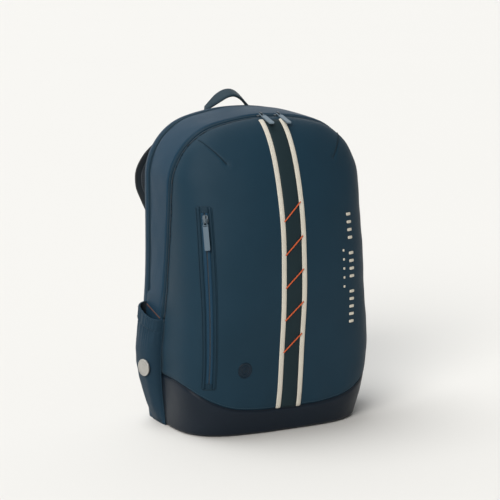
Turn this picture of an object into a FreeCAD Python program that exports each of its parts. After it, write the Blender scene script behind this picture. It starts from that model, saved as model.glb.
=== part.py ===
# Racket backpack: a domed front that zips open, a boxed body, a rear compartment,
# two elastic side pockets, a carry handle and two padded shoulder straps.
# Millimetres, +Z up, -Y is the front, the origin is the middle of the base on the ground.

import FreeCAD
import Part
import math
import os

Vector = FreeCAD.Vector

# ---- driving dimensions -------------------------------------------------------------------
FRONT_HEIGHT = 466.0       # top of the front zip line
HALF_WIDTH = 152.0         # half the body's width where its sides are straight
CORNER_R = 90.0            # radius of the top corners, seen from the front
CORNER_ANGLE = 74.0        # degrees that each top corner turns through
LEAN = 0.105               # how far the front zip's plane leans forward, per mm of height
LEAN_Z = 250.0             # height where that plane crosses y = 0
DOME_DEPTH = 114.0         # how far the front stands ahead of its zip
DOME_FULL_Z = 150.0        # below this height the front is at full depth
BASE_DEPTH = 108.0         # depth of the front at the ground
FABRIC = 3.0               # padded wall
FLOOR = 3.0                # base panel
BAND = 14.0                # width of a zip's band between two panels
BAND_SINK = 2.0            # how far a zip band lies under the panels
COIL = 2.0                 # thickness of a zip's coil
COIL_GAP = 0.8             # between the coil's halves, so that they part freely as the front opens
OPENING_Z = 165.0          # the front zip ends here on both sides
REAR_ZIP_Z = 196.0         # the rear zip ends here on both sides
REAR_BAND_Y = 64.0         # front edge of the rear zip's band
BACK_Y = 104.0             # outside of the back panel
BACK_PANEL = 6.0
PLAY = 0.4                 # clearance between pieces that move past each other

SEAM_Z = 38.0              # base seam at the middle of the front
SEAM_RISE = 47.0           # how much higher it is at the sides
SEAM_HALF = 160.0

STRIPE_X = 16.7            # centre of each front webbing
WEBBING_W = 7.8
WEBBING_T = 1.4
TRIM_T = 1.0
STITCH_COUNT = 5
STITCH_TOP_Z = 346.5       # upper end of the top cross stitch
STITCH_PITCH = 48.7
STITCH_RISE = 26.0

POCKET_X = -127.0          # centre line of the front pocket's zip
POCKET_LOW = 78.0
POCKET_HIGH = 345.0
POCKET_FRAME = 17.0        # width of its welt frame, seen from the front
EMBLEM_X = -75.5
EMBLEM_Z = 104.0
EMBLEM_R = 12.0

SIDE_POCKET_TOP = 186.0
SIDE_POCKET_REAR = 79.0    # rear seam of a side pocket; its front seam follows the front zip
HEM_H = 20.0
POCKET_FABRIC = 2.2
POCKET_ROOT = 6.0          # how far a side pocket's edges reach into the body's side
MOUTH_TILT = 14.0          # degrees that a side pocket's mouth drops towards the front
BADGE_R = 13.0
BADGE_Y = 34.0
BADGE_Z = 92.0

SLIDER_DEGREES = 2.6       # each front slider's place on the top arc, off the middle of the two
SLIDER_SHIFT = 1.1         # degrees that the two sliders are parked to the right
PULL_DROP = 10.5           # degrees that the front pulls point down at rest
POCKET_SLIDER_DROP = 17.0  # below the top of the welt frame
REAR_SLIDER_Z = 300.0
SLIDER_L = 12.0
SLIDER_W = 8.0
PULL_L = 31.0
POCKET_PULL_L = 38.0
PULL_W = 8.0
PULL_T = 2.0
RING_L = 9.0
BRIDGE_Z = 4.35            # the pull's ring passes under the slider's bridge at this height
BACK_PAD_X = 95.0
HANDLE_HALF = 39.0
HANDLE_RISE = 24.0
HANDLE_BELL = 1.35         # above 1, the arch's sides slope in towards its top
HANDLE_W = 22.0
HANDLE_T = 3.8
HANDLE_LEG = 6.0
HANDLE_LEAN = 25.0
HANDLE_Y = BACK_Y + 11.0
HANDLE_Z = 467.5

STRAP_T = 14.0
STRAP_PATH = [(-62, 116, 436), (-77, 135, 421), (-93, 151, 398), (-102, 161, 373),
              (-103, 160, 348), (-99, 151, 327), (-94, 141, 305), (-90, 135, 280),
              (-89, 132, 250), (-94, 131, 215), (-99, 131, 185)]
STRAP_WIDTH = [60, 64, 66, 66, 66, 64, 61, 59, 56, 51, 44]
WEB_W = 25.0
WEB_T = 1.8
LOCK = (-100.0, 126.0, 164.0)      # upper end of the left ladder lock
LOCK_H = 26.0
TAB_END = (-110.0, 110.0, 50.0)    # where the left lower webbing is sewn to its tab

BACK_PAD_T = 9.0
BACK_PAD_INNER_X = 18.0    # half the air channel between the two long pads
BACK_PAD_Z = 98.0
BACK_PAD_H = 240.0
LUMBAR_Z = 28.0
LUMBAR_H = 60.0
YOKE_Z = 386.0
YOKE_H = 52.0
YOKE_T = 5.0
DIVIDER_TOP = 440.0

# outline heights, sections of the front, and how square those sections are
OUTLINE_Z = (45, 90, 135, 185, 240, 300)
SECTION_Z = (0, 15, 40, 80, 120, 165, 210, 255, 300, 340, 375, 405, 430, 448, 459, 464)
FULLNESS = [(0, 3.45), (40, 3.9), (110, 4.0), (200, 3.4), (300, 2.7), (400, 2.1), (466, 2.0)]
POCKET_BULGE = [(0, 5), (30, 12), (70, 18), (115, 21), (160, 20), (220, 21)]

# ---- values that follow from them ---------------------------------------------------------
angle = math.radians(CORNER_ANGLE)
CORNER_X = HALF_WIDTH - CORNER_R
TOP_R = CORNER_R + CORNER_X / math.cos(angle)
SHOULDER_Z = FRONT_HEIGHT - TOP_R + CORNER_X * math.tan(angle)
TOP_CENTRE_Z = FRONT_HEIGHT - TOP_R
CORNER_END_Z = SHOULDER_Z + CORNER_R * math.sin(angle)
BIG = 1000.0


def zip_y(z):
    """y of the front zip's plane at height z."""
    return -LEAN * (z - LEAN_Z)


def side_width(z):
    """Half width of the straight part: slightly fuller low down, drawn in at the ground."""
    belly = 8.0 * math.exp(-((z - 115.0) / 80.0) ** 2)
    foot = 5.0 * math.exp(-((z + 10.0) / 45.0) ** 2)
    return HALF_WIDTH + belly - foot


def half_width(z, inset=0.0):
    """Half width of the front zip's outline at height z, drawn in by inset."""
    if z < SHOULDER_Z:
        return side_width(z) - inset
    if z < CORNER_END_Z - inset * math.sin(angle):
        return CORNER_X + math.sqrt(max((CORNER_R - inset) ** 2 - (z - SHOULDER_Z) ** 2, 0.0))
    return math.sqrt(max((TOP_R - inset) ** 2 - (z - TOP_CENTRE_Z) ** 2, 0.0))


def dome_depth(z, inset=0.0):
    """How far the middle of the front stands ahead of the zip's plane at height z."""
    if z < DOME_FULL_Z:
        rise = min(max(z, 0.0) / 60.0, 1.0) ** 0.7
        return BASE_DEPTH + (DOME_DEPTH - BASE_DEPTH) * rise - inset
    part = (z - DOME_FULL_Z) / (FRONT_HEIGHT - inset - DOME_FULL_Z)
    return (DOME_DEPTH - inset) * max(1.0 - part ** 2.2, 0.0) ** 0.62


def between(z, table):
    """Straight-line value of a table of (z, value) rows."""
    if z <= table[0][0]:
        return table[0][1]
    for (z0, v0), (z1, v1) in zip(table, table[1:]):
        if z <= z1:
            return v0 + (v1 - v0) * (z - z0) / (z1 - z0)
    return table[-1][1]


def front_y(x, z, out=0.0):
    """y of the front's surface at (x, z), or of a surface that stands out from it."""
    power = between(z, FULLNESS)
    share = min(abs(x) / half_width(z, -out), 1.0) ** power
    return zip_y(z) - dome_depth(z, -out) * (1.0 - share) ** (1.0 / power)


def spline(points):
    curve = Part.BSplineCurve()
    curve.interpolate(points)
    return curve.toShape()


def loop(curve_points, closing_points):
    """A wire of one smooth curve, closed by straight lines through closing_points."""
    corners = [curve_points[-1]] + closing_points + [curve_points[0]]
    edges = [spline(curve_points)]
    for start, end in zip(corners, corners[1:]):
        edges.append(Part.LineSegment(start, end).toShape())
    return Part.Wire(edges)


def loft(wires):
    return Part.makeLoft(wires, True, False)


def box(low, high):
    return Part.makeBox(high[0] - low[0], high[1] - low[1], high[2] - low[2], Vector(*low))


def above(z):
    return box((-BIG, -BIG, z), (BIG, BIG, BIG))


def below(z):
    return box((-BIG, -BIG, -BIG), (BIG, BIG, z))


def left_of(x):
    return box((-BIG, -BIG, -BIG), (x, BIG, BIG))


def right_of(x):
    return box((x, -BIG, -BIG), (BIG, BIG, BIG))


def mirrored(shape):
    return shape.mirror(Vector(0, 0, 0), Vector(1, 0, 0))


def pair(shape):
    """The shape and its mirror image, as one node of two solids."""
    return Part.makeCompound([shape, mirrored(shape)])


# ---- the body's outlines ------------------------------------------------------------------

def outline_points(inset, foot):
    """Half outline, from the ground at the right up to the middle of the top."""
    points = []
    for z in (foot,) + OUTLINE_Z + (SHOULDER_Z,):
        points.append((side_width(z) - inset, z))
    for degrees in (15, 30, 45, 60, CORNER_ANGLE):
        turn = math.radians(degrees)
        radius = CORNER_R - inset
        points.append((CORNER_X + radius * math.cos(turn), SHOULDER_Z + radius * math.sin(turn)))
    for degrees in (80, 85, 90):
        turn = math.radians(degrees)
        radius = TOP_R - inset
        points.append((radius * math.cos(turn), TOP_CENTRE_Z + radius * math.sin(turn)))
    return points


def outline(station, inset=0.0, foot=0.0):
    """Closed outline wire at a station (y, lean, height, width factor) of the body's depth."""
    y, lean, height, width = station
    scale = height / FRONT_HEIGHT
    half = outline_points(inset, foot)
    points = []
    for x, z in half:
        points.append(Vector(x * width, y + lean * (z * scale - LEAN_Z), z * scale))
    for x, z in reversed(half[:-1]):
        points.append(Vector(-x * width, y + lean * (z * scale - LEAN_Z), z * scale))
    return loop(points, [])


def front_station(depth):
    """A station that leans with the front zip, at a depth behind it."""
    grow = depth / BAND
    return (depth, -LEAN, FRONT_HEIGHT + 3.5 * grow, 1.0 + 0.003 * grow)


def rear_station(y):
    """An upright station of the body's rear half."""
    past = max(y - REAR_BAND_Y - BAND, 0.0) / (BACK_Y - REAR_BAND_Y - BAND)
    return (y, 0.0, 474.5 - 8.5 * past ** 2, 1.0 - 0.075 * past ** 2)


def stretch(stations, margin):
    """The stations with the first and last moved outwards by margin."""
    first = stations[0]
    last = stations[-1]
    return [(first[0] - margin,) + first[1:]] + stations[1:-1] + [(last[0] + margin,) + last[1:]]


def ring(stations, inset, thick):
    """A hollow ring through the stations."""
    outer = loft([outline(s, inset) for s in stations])
    inner = loft([outline(s, inset + thick, -8.0) for s in stretch(stations, 2.0)])
    return outer.cut(inner)


def body_ring(stations):
    """A wall of the body that stands on its floor."""
    return ring(stations, 0.0, FABRIC).common(above(FLOOR))


# ---- the front ----------------------------------------------------------------------------

def front_section(z, inset, reach):
    """Closed D-shaped wire of the front at height z; its straight side stands reach behind."""
    width = half_width(z, inset)
    depth = dome_depth(z, inset)
    power = between(z, FULLNESS)
    points = []
    steps = 20
    for i in range(steps + 1):
        turn = math.pi * i / steps
        c = math.cos(turn)
        s = math.sin(turn)
        x = width * math.copysign(abs(c) ** (2.0 / power), c)
        points.append(Vector(x, zip_y(z) - depth * abs(s) ** (2.0 / power), z))
    if reach == 0.0:
        return loop(points, [])
    back = zip_y(z) + reach
    return loop(points, [Vector(-width, back, z), Vector(width, back, z)])


def front_solid(inset, reach, low=0.0, high=464.0):
    heights = [z for z in SECTION_Z if low <= z <= high - 3.0]
    if inset > 0.0:
        heights = [-8.0] + [z for z in heights if z < high - 8.0]
    heights.append(high - inset)
    return loft([front_section(z, inset, reach) for z in heights])


def seam_profile(z_shift, y0, y1):
    """Everything under the base seam, between two depths."""
    points = []
    for i in range(-8, 9):
        x = SEAM_HALF * 1.2 * i / 8.0
        z = SEAM_Z + SEAM_RISE * min(abs(x) / SEAM_HALF, 1.25) ** 3.5 + z_shift
        points.append(Vector(x, y0, z))
    wire = loop(points, [Vector(points[-1].x, y0, -20.0), Vector(points[0].x, y0, -20.0)])
    return Part.Face(wire).extrude(Vector(0, y1 - y0, 0))


def skin(out, thick, x0, x1, z0, z1, count=9):
    """A thin strip that lies on the front between x0 and x1, from z0 up to z1."""
    wires = []
    for i in range(count):
        z = z0 + (z1 - z0) * i / (count - 1)
        rows = []
        for depth in (out, out + thick):
            row = []
            for k in range(5):
                x = x0 + (x1 - x0) * k / 4.0
                row.append(Vector(x, front_y(x, z, depth), z))
            rows.append(row)
        top = spline(rows[0])
        end = Part.LineSegment(rows[0][-1], rows[1][-1]).toShape()
        bottom = spline(rows[1][::-1])
        start = Part.LineSegment(rows[1][0], rows[0][0]).toShape()
        wires.append(Part.Wire([top, end, bottom, start]))
    return loft(wires)


def front_walls():
    """The padded front as three panels: base, lower front and the opening front."""
    wall = front_solid(0.0, 0.0).cut(front_solid(FABRIC, 20.0))
    base_cut = seam_profile(0.0, -BIG / 2, BIG / 2)
    lower = wall.common(above(FLOOR)).common(below(OPENING_Z))
    return {
        "front_base_panel": lower.common(base_cut),
        "front_lower_panel": lower.cut(base_cut),
        "front_panel": wall.common(above(OPENING_Z + PLAY)),
    }


def front_trim():
    """Webbings, centre stripe and cross stitches, split where the front opens."""
    low = SEAM_Z + 1.0
    top = 452.0
    split = OPENING_Z
    shapes = {}
    x0 = STRIPE_X - WEBBING_W / 2
    x1 = STRIPE_X + WEBBING_W / 2
    lower = skin(0.2, WEBBING_T, x0, x1, low, split)
    upper = skin(0.2, WEBBING_T, x0, x1, split + PLAY, top, 13)
    shapes["front_webbings_lower"] = pair(lower)
    shapes["front_webbings_upper"] = pair(upper)
    edge = STRIPE_X - WEBBING_W / 2 - 0.2
    shapes["stripe_lower"] = skin(0.2, TRIM_T, -edge, edge, low, split)
    shapes["stripe_upper"] = skin(0.2, TRIM_T, -edge, edge, split + PLAY, top, 13)
    stitches = [cross_stitch(i) for i in range(STITCH_COUNT)]
    shapes["cross_stitches_upper"] = Part.makeCompound(stitches[:-1])
    shapes["cross_stitch_lower"] = stitches[-1]
    return shapes


def cross_stitch(number):
    """One slanted bar of thick thread from the left webbing up to the right one."""
    top = STITCH_TOP_Z - STITCH_PITCH * number
    half = 1.3
    edge = STRIPE_X - WEBBING_W / 2 - 0.6
    lift = TRIM_T + 0.7
    wires = []
    for x, z in ((-edge, top - STITCH_RISE), (0.0, top - STITCH_RISE / 2), (edge, top)):
        y = front_y(x, z, lift)
        ring_points = []
        for dz, dy in ((-half, 0.0), (-half, -1.6), (half, -1.6), (half, 0.0)):
            ring_points.append(Vector(x, y + dy, z + dz))
        wires.append(Part.makePolygon(ring_points + ring_points[:1]))
    return Part.makeLoft(wires, True, True)


def pocket_pieces():
    """Front pocket: a welt frame round a slit, its zip tape and its coil."""
    x0 = POCKET_X - POCKET_FRAME / 2
    x1 = POCKET_X + POCKET_FRAME / 2
    slit = 3.6
    frame = skin(0.2, 1.6, x0, x1, POCKET_LOW, POCKET_HIGH, 11)
    hole = skin(-2.0, 8.0, POCKET_X - slit, POCKET_X + slit, POCKET_LOW + 8, POCKET_HIGH - 8, 11)
    tape = skin(0.2, 0.6, POCKET_X - slit + 0.2, POCKET_X + slit - 0.2,
                POCKET_LOW + 8.3, POCKET_HIGH - 8.3, 11)
    coil = skin(1.0, 1.2, POCKET_X - 1.2, POCKET_X + 1.2, POCKET_LOW + 9, POCKET_HIGH - 9, 11)
    pieces = {"pocket_welt": frame.cut(hole), "pocket_zip_tape": tape, "pocket_zip_coil": coil}
    split = {}
    for name, shape in pieces.items():
        split[name + "_lower"] = shape.common(below(OPENING_Z))
        split[name + "_upper"] = shape.common(above(OPENING_Z + PLAY))
    return split


def surface_frame(x, z, out=0.0):
    """Point on the front, outward normal, and the upward direction along the surface."""
    step = 1.0
    point = Vector(x, front_y(x, z, out), z)
    across = Vector(x + step, front_y(x + step, z, out), z) - point
    upward = Vector(x, front_y(x, z + step, out), z + step) - point
    normal = across.cross(upward)
    normal.normalize()
    upward.normalize()
    return point, normal, upward


def placed(shape, origin, x_axis, z_axis):
    """The shape moved so that its own X and Z axes lie along x_axis and z_axis."""
    y_axis = z_axis.cross(x_axis)
    y_axis.normalize()
    x_axis = y_axis.cross(z_axis)
    matrix = FreeCAD.Matrix(
        x_axis.x, y_axis.x, z_axis.x, origin.x,
        x_axis.y, y_axis.y, z_axis.y, origin.y,
        x_axis.z, y_axis.z, z_axis.z, origin.z,
        0, 0, 0, 1)
    moved = shape.copy()
    moved.Placement = FreeCAD.Placement(matrix)
    return moved


def emblem():
    """A plain round patch with a raised rim, sewn low on the front."""
    point, normal, upward = surface_frame(EMBLEM_X, EMBLEM_Z, 0.3)
    disc = Part.makeCylinder(EMBLEM_R, 1.2)
    dish = Part.makeCylinder(EMBLEM_R - 2.0, 1.0, Vector(0, 0, 0.7))
    return placed(disc.cut(dish), point, upward, normal)


# ---- zips ---------------------------------------------------------------------------------

def front_zip():
    """Front zip in two halves: one on the body, one on the opening front."""
    middle = BAND / 2
    gap = COIL_GAP / 2
    cut = above(OPENING_Z + PLAY)
    body_side = [front_station(middle + gap + COIL), front_station(BAND - 0.2)]
    flap_side = [front_station(0.2), front_station(middle - gap - COIL)]
    return {
        "front_zip_tape_body": ring(body_side, BAND_SINK + 0.8, 1.2).common(cut),
        "front_zip_coil_body": ring(
            [front_station(middle + gap), front_station(middle + gap + COIL - 0.05)],
            BAND_SINK, COIL).common(cut),
        "front_zip_tape_flap": ring(flap_side, BAND_SINK + 0.8, 1.2).common(cut),
        "front_zip_coil_flap": ring(
            [front_station(middle - gap - COIL + 0.05), front_station(middle - gap)],
            BAND_SINK, COIL).common(cut),
    }


def rear_zip():
    cut = above(REAR_ZIP_Z)
    low = REAR_BAND_Y + 0.2
    high = REAR_BAND_Y + BAND - 0.2
    middle = REAR_BAND_Y + BAND / 2
    coil = [rear_station(middle - COIL), rear_station(middle + COIL)]
    front = [rear_station(low), rear_station(middle - COIL - 0.05)]
    rear = [rear_station(middle + COIL + 0.05), rear_station(high)]
    return {
        "rear_zip_coil": ring(coil, BAND_SINK, COIL).common(cut),
        "rear_zip_tapes": Part.makeCompound([
            ring(front, BAND_SINK + 0.8, 1.2).common(cut),
            ring(rear, BAND_SINK + 0.8, 1.2).common(cut)]),
    }


def slider(across=False):
    """Zip slider: top plate and a raised bridge. X runs along the zip, Z stands out.

    The bridge runs along the zip, or across it where the pull lies beside the zip."""
    plate = Part.makeBox(SLIDER_L, SLIDER_W, 1.6, Vector(-SLIDER_L / 2, -SLIDER_W / 2, 0.5))
    ends = [e for e in plate.Edges if abs(e.Vertexes[0].Z - e.Vertexes[-1].Z) > 1.0]
    plate = plate.makeFillet(2.4, ends)
    reach = SLIDER_W / 2 - 0.1 if across else SLIDER_L / 2 - 0.9
    post_a = Part.makeBox(1.6, 2.4, 3.4, Vector(-reach, -1.2, 2.0))
    post_b = Part.makeBox(1.6, 2.4, 3.4, Vector(reach - 1.6, -1.2, 2.0))
    bridge = post_a.fuse([post_b, Part.makeBox(2 * reach, 2.4, 1.3, Vector(-reach, -1.2, 5.3))])
    if across:
        bridge.rotate(Vector(0, 0, 0), Vector(0, 0, 1), 90.0)
    return plate.fuse(bridge).removeSplitter()


def pull(length):
    """Pull: a wire ring through the bridge and a flat tab. Its hinge is the X axis."""
    wire = 0.75
    half = 2.4
    path_points = [Vector(-half, 0.3, 0), Vector(-half, -RING_L, 0),
                   Vector(half, -RING_L, 0), Vector(half, 0.3, 0)]
    ring_body = None
    for start, end in zip(path_points, path_points[1:] + path_points[:1]):
        rod = Part.makeCylinder(wire, start.distanceToPoint(end), start, end - start)
        knob = Part.makeSphere(wire, start)
        ring_body = rod.fuse(knob) if ring_body is None else ring_body.fuse([rod, knob])
    tab = Part.makeBox(PULL_W, length, PULL_T,
                       Vector(-PULL_W / 2, -RING_L - length + 2.0, -PULL_T / 2))
    corners = [e for e in tab.Edges if abs(e.Vertexes[0].Z - e.Vertexes[-1].Z) > 1.0]
    tab = tab.makeFillet(1.5, corners)
    eye = Part.makeBox(6.6, 3.4, PULL_T + 1, Vector(-3.3, -RING_L - 1.3, -PULL_T / 2 - 0.5))
    lip = Part.makeCylinder(0.55, 7.4, Vector(-3.7, -RING_L, 0), Vector(1, 0, 0))
    return tab.cut(eye).fuse([ring_body, lip]).removeSplitter()


def front_slider_frame(degrees):
    """Frame of a slider on the front zip's top arc, degrees off the middle."""
    turn = math.radians(degrees)
    radius = TOP_R - BAND_SINK + 0.3
    scale = (FRONT_HEIGHT + 1.75) / FRONT_HEIGHT
    z = (TOP_CENTRE_Z + radius * math.cos(turn)) * scale
    x = radius * math.sin(turn)
    origin = Vector(x, BAND / 2 + zip_y(z), z)
    outward = Vector(math.sin(turn), -LEAN * math.cos(turn), math.cos(turn))
    outward.normalize()
    along = Vector(math.cos(turn), LEAN * math.sin(turn), -math.sin(turn))
    return origin, along, outward


def front_sliders():
    """Two sliders at the top of the front zip, each with a pull that lies over the front."""
    shapes = {}
    for name, degrees in (("left", -SLIDER_DEGREES), ("right", SLIDER_DEGREES)):
        origin, along, outward = front_slider_frame(degrees + SLIDER_SHIFT)
        shapes["zip_slider_" + name] = placed(slider(across=True), origin, along, outward)
        hinge = origin + outward * BRIDGE_Z
        tilted = FreeCAD.Rotation(along, PULL_DROP).multVec(outward)
        shapes["zip_pull_" + name] = placed(pull(PULL_L), hinge, along, tilted)
    return shapes


def pocket_slider_pieces():
    point, normal, upward = surface_frame(POCKET_X, POCKET_HIGH - POCKET_SLIDER_DROP, 2.2)
    hinge = point + normal * BRIDGE_Z
    return {
        "pocket_slider": placed(slider(), point, upward, normal),
        "pocket_pull": placed(pull(POCKET_PULL_L), hinge, upward.cross(normal), normal),
    }


def rear_slider_pieces():
    x = side_width(REAR_SLIDER_Z) - BAND_SINK + 0.3
    origin = Vector(x, REAR_BAND_Y + BAND / 2, REAR_SLIDER_Z)
    outward = Vector(1, 0, 0)
    along = Vector(0, 0, 1)
    hinge = origin + outward * BRIDGE_Z
    return {
        "rear_zip_slider": placed(slider(), origin, along, outward),
        "rear_zip_pull": placed(pull(PULL_L), hinge, Vector(0, 1, 0), outward),
    }


# ---- body ---------------------------------------------------------------------------------

def front_band_space():
    """Everything ahead of the body's front edge, above the ends of the front zip."""
    low = OPENING_Z + PLAY
    high = 500.0
    points = [Vector(-BIG, -BIG, low), Vector(-BIG, zip_y(low) + BAND, low),
              Vector(-BIG, zip_y(high) + BAND, high), Vector(-BIG, -BIG, high)]
    return Part.Face(Part.makePolygon(points + points[:1])).extrude(Vector(2 * BIG, 0, 0))


def rear_band_space():
    """Everything behind the body's rear edge, above the ends of the rear zip."""
    return box((-BIG, REAR_BAND_Y, REAR_ZIP_Z), (BIG, BIG, BIG))


def body_panels():
    """Side panels, top panel and the rear boxing, between the two zips and behind them."""
    stations = [front_station(0.0), front_station(BAND),
                rear_station(REAR_BAND_Y), rear_station(REAR_BAND_Y + BAND)]
    wall = body_ring(stations).cut(front_band_space()).cut(rear_band_space())
    side = wall.common(below(SHOULDER_Z))
    boxing = [rear_station(y) for y in (REAR_BAND_Y + BAND + 0.05, 90.0, BACK_Y - BACK_PANEL)]
    back = [rear_station(BACK_Y - BACK_PANEL + 0.05), rear_station(BACK_Y)]
    return {
        "side_panel_left": side.common(left_of(0)),
        "side_panel_right": side.common(right_of(0)),
        "top_panel": wall.common(above(SHOULDER_Z)),
        "rear_boxing": body_ring(boxing),
        "back_panel": loft([outline(s) for s in back]).common(above(FLOOR)),
    }


def bottom_panel():
    """The flat base under everything: the body's footprint."""
    half = side_width(0.0)
    start = zip_y(0.0)
    corner = 22.0
    rear_half = half * rear_station(BACK_Y)[3]
    points = [Vector(half, start, 0), Vector(half, REAR_BAND_Y + BAND, 0),
              Vector(rear_half + 1.5, BACK_Y - 5.0, 0), Vector(rear_half - corner, BACK_Y, 0),
              Vector(corner - rear_half, BACK_Y, 0), Vector(-rear_half - 1.5, BACK_Y - 5.0, 0),
              Vector(-half, REAR_BAND_Y + BAND, 0), Vector(-half, start, 0)]
    rear = Part.Face(Part.makePolygon(points + points[:1]))
    front = Part.Face(front_section(0.0, 0.0, 0.0))
    plate = front.extrude(Vector(0, 0, FLOOR)).fuse(rear.extrude(Vector(0, 0, FLOOR)))
    return plate.removeSplitter()


def inner_pieces():
    """Base board and the divider in front of the rear compartment."""
    board = front_solid(FABRIC + 2.0, REAR_BAND_Y - 31.5)
    board = board.common(above(FLOOR + 0.5)).common(below(FLOOR + 3.0))
    wall = [rear_station(REAR_BAND_Y - 4.0), rear_station(REAR_BAND_Y - 0.5)]
    divider = loft([outline(s, FABRIC + 0.5) for s in wall])
    return {
        "base_board": board,
        "compartment_divider": divider.common(above(FLOOR + 0.4)).common(below(DIVIDER_TOP)),
    }


# ---- side pockets -------------------------------------------------------------------------

def pocket_bulge(z):
    return between(z, POCKET_BULGE)


def side_pocket_span(z):
    """Middle and half length, along Y, of a side pocket at height z."""
    front = zip_y(z) + 2.5
    return (SIDE_POCKET_REAR + front) / 2, (SIDE_POCKET_REAR - front) / 2


def side_pocket_x(y, z):
    """x of the left pocket's outside at (y, z)."""
    centre, half = side_pocket_span(z)
    c = (abs(y - centre) / half) ** 1.25
    s = math.sqrt(max(1.0 - c * c, 0.0))
    return POCKET_ROOT - side_width(z) - (pocket_bulge(z) + POCKET_ROOT) * s ** 0.6


def side_pocket_solid(inset, low, high):
    wires = []
    count = 8
    for i in range(count):
        z = low + (high - low) * i / (count - 1)
        centre, half = side_pocket_span(z)
        half -= inset
        reach = pocket_bulge(z) - inset
        base_x = POCKET_ROOT - side_width(z)
        points = []
        for k in range(13):
            turn = math.pi * k / 12
            c = math.cos(turn)
            s = math.sin(turn)
            y = centre - half * math.copysign(abs(c) ** 0.8, c)
            points.append(Vector(base_x - (reach + POCKET_ROOT) * abs(s) ** 0.6, y, z))
        wires.append(loop(points, []))
    return loft(wires)


def mouth(offset):
    """Half space under the slanted mouth of a side pocket."""
    slab = box((-BIG, -BIG, -BIG), (BIG, BIG, SIDE_POCKET_TOP + offset))
    pivot = Vector(0, SIDE_POCKET_REAR - 12.0, SIDE_POCKET_TOP + offset)
    slab.rotate(pivot, Vector(1, 0, 0), MOUTH_TILT)
    return slab


def side_pockets():
    """Left and right elastic pockets, each with a folded hem, open at the top."""
    near = [front_station(0.0), front_station(BAND),
            rear_station(REAR_BAND_Y), rear_station(REAR_BAND_Y + BAND)]
    far = [rear_station(y) for y in (REAR_BAND_Y + BAND, 90.0, BACK_Y - BACK_PANEL)]
    body = loft([outline(s, -0.3, -8.0) for s in stretch(near, 1.0)])
    body = body.fuse(loft([outline(s, -0.3, -8.0) for s in far]))
    shell = side_pocket_solid(0.0, 0.0, 225.0).cut(side_pocket_solid(POCKET_FABRIC, 4.0, 240.0))
    shell = shell.cut(body)
    fabric = shell.common(mouth(-HEM_H)).common(above(FLOOR + 0.2))
    thick = side_pocket_solid(-1.4, 0.0, 225.0).cut(side_pocket_solid(3.2, -5.0, 240.0))
    hem = thick.cut(body).common(mouth(0.0)).cut(mouth(-HEM_H + 0.2))
    return {
        "side_pocket_left": fabric,
        "side_pocket_right": mirrored(fabric),
        "pocket_hem_left": hem,
        "pocket_hem_right": mirrored(hem),
    }


def pocket_badge():
    """A round metal button on the left pocket."""
    middle = Vector(side_pocket_x(BADGE_Y, BADGE_Z), BADGE_Y, BADGE_Z)
    rear = Vector(side_pocket_x(BADGE_Y + 6.0, BADGE_Z), BADGE_Y + 6.0, BADGE_Z)
    front = Vector(side_pocket_x(BADGE_Y - 6.0, BADGE_Z), BADGE_Y - 6.0, BADGE_Z)
    outward = (rear - front).cross(Vector(0, 0, 1)) * -1.0
    outward.normalize()
    button = Part.makeCylinder(BADGE_R, 2.0, middle + outward * 1.6, outward)
    return button.makeFillet(0.8, [button.Edges[0]])


# ---- carrying gear ------------------------------------------------------------------------

def handle():
    """A padded arch of webbing that leans forward over the top of the back panel."""
    hoop = arch(HANDLE_HALF, HANDLE_RISE).cut(arch(HANDLE_HALF - HANDLE_T, HANDLE_RISE - HANDLE_T))
    hoop.rotate(Vector(0, 0, 0), Vector(1, 0, 0), HANDLE_LEAN)
    hoop.translate(Vector(0, HANDLE_Y, HANDLE_Z))
    return hoop


def arch(half, rise):
    """A solid arch with short straight legs, standing on z = 0."""
    points = []
    for k in range(11):
        turn = math.pi * k / 10
        height = HANDLE_LEG + rise * math.sin(turn) ** HANDLE_BELL
        points.append(Vector(half * math.cos(turn), -HANDLE_W / 2, height))
    corners = [Vector(-half, -HANDLE_W / 2, 0), Vector(half, -HANDLE_W / 2, 0)]
    return Part.Face(loop(points, corners)).extrude(Vector(0, HANDLE_W, 0))


def ribbon(path, widths, thick):
    """A flat strap through (x, y, z) points; its widths lie along X."""
    wires = []
    for i, here in enumerate(path):
        before = Vector(*path[max(i - 1, 0)])
        after = Vector(*path[min(i + 1, len(path) - 1)])
        run = after - before
        side = Vector(1, 0, 0)
        out = run.cross(side)
        out.normalize()
        centre = Vector(*here)
        a = side * (widths[i] / 2)
        b = out * (thick / 2)
        corners = [centre - a - b, centre + a - b, centre + a + b, centre - a + b]
        wires.append(Part.makePolygon(corners + corners[:1]))
    return loft(wires)


def moved_out(path, distance):
    """The path moved outwards, square to its own run."""
    result = []
    for i, here in enumerate(path):
        before = Vector(*path[max(i - 1, 0)])
        after = Vector(*path[min(i + 1, len(path) - 1)])
        out = (after - before).cross(Vector(-1, 0, 0))
        out.normalize()
        result.append(tuple(Vector(*here) + out * distance))
    return result


def straps():
    """Left-hand shoulder strap with its ladder lock, lower webbing and loose tail."""
    x, y, z = LOCK
    pad = ribbon(STRAP_PATH, STRAP_WIDTH, STRAP_T)
    cover_path = moved_out(STRAP_PATH, STRAP_T / 2 + 1.6)[1:] + [(x, y + 1.2, z + 7.0)]
    low = z - LOCK_H + 3.6
    web_path = [(x, y - 1.0, low), (-104, 120, 110), (-108, 113, 76), TAB_END]
    tail_path = [(x, y + 3.0, low), (-101, 131, 112), (-102, 131, 78)]
    cover, web, tail = [ribbon(path, [WEB_W] * len(path), WEB_T)
                        for path in (cover_path, web_path, tail_path)]
    return {"shoulder_strap": pad, "strap_webbing": cover, "ladder_lock": ladder_lock(),
            "lower_webbing": web, "webbing_tail": tail}


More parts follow.
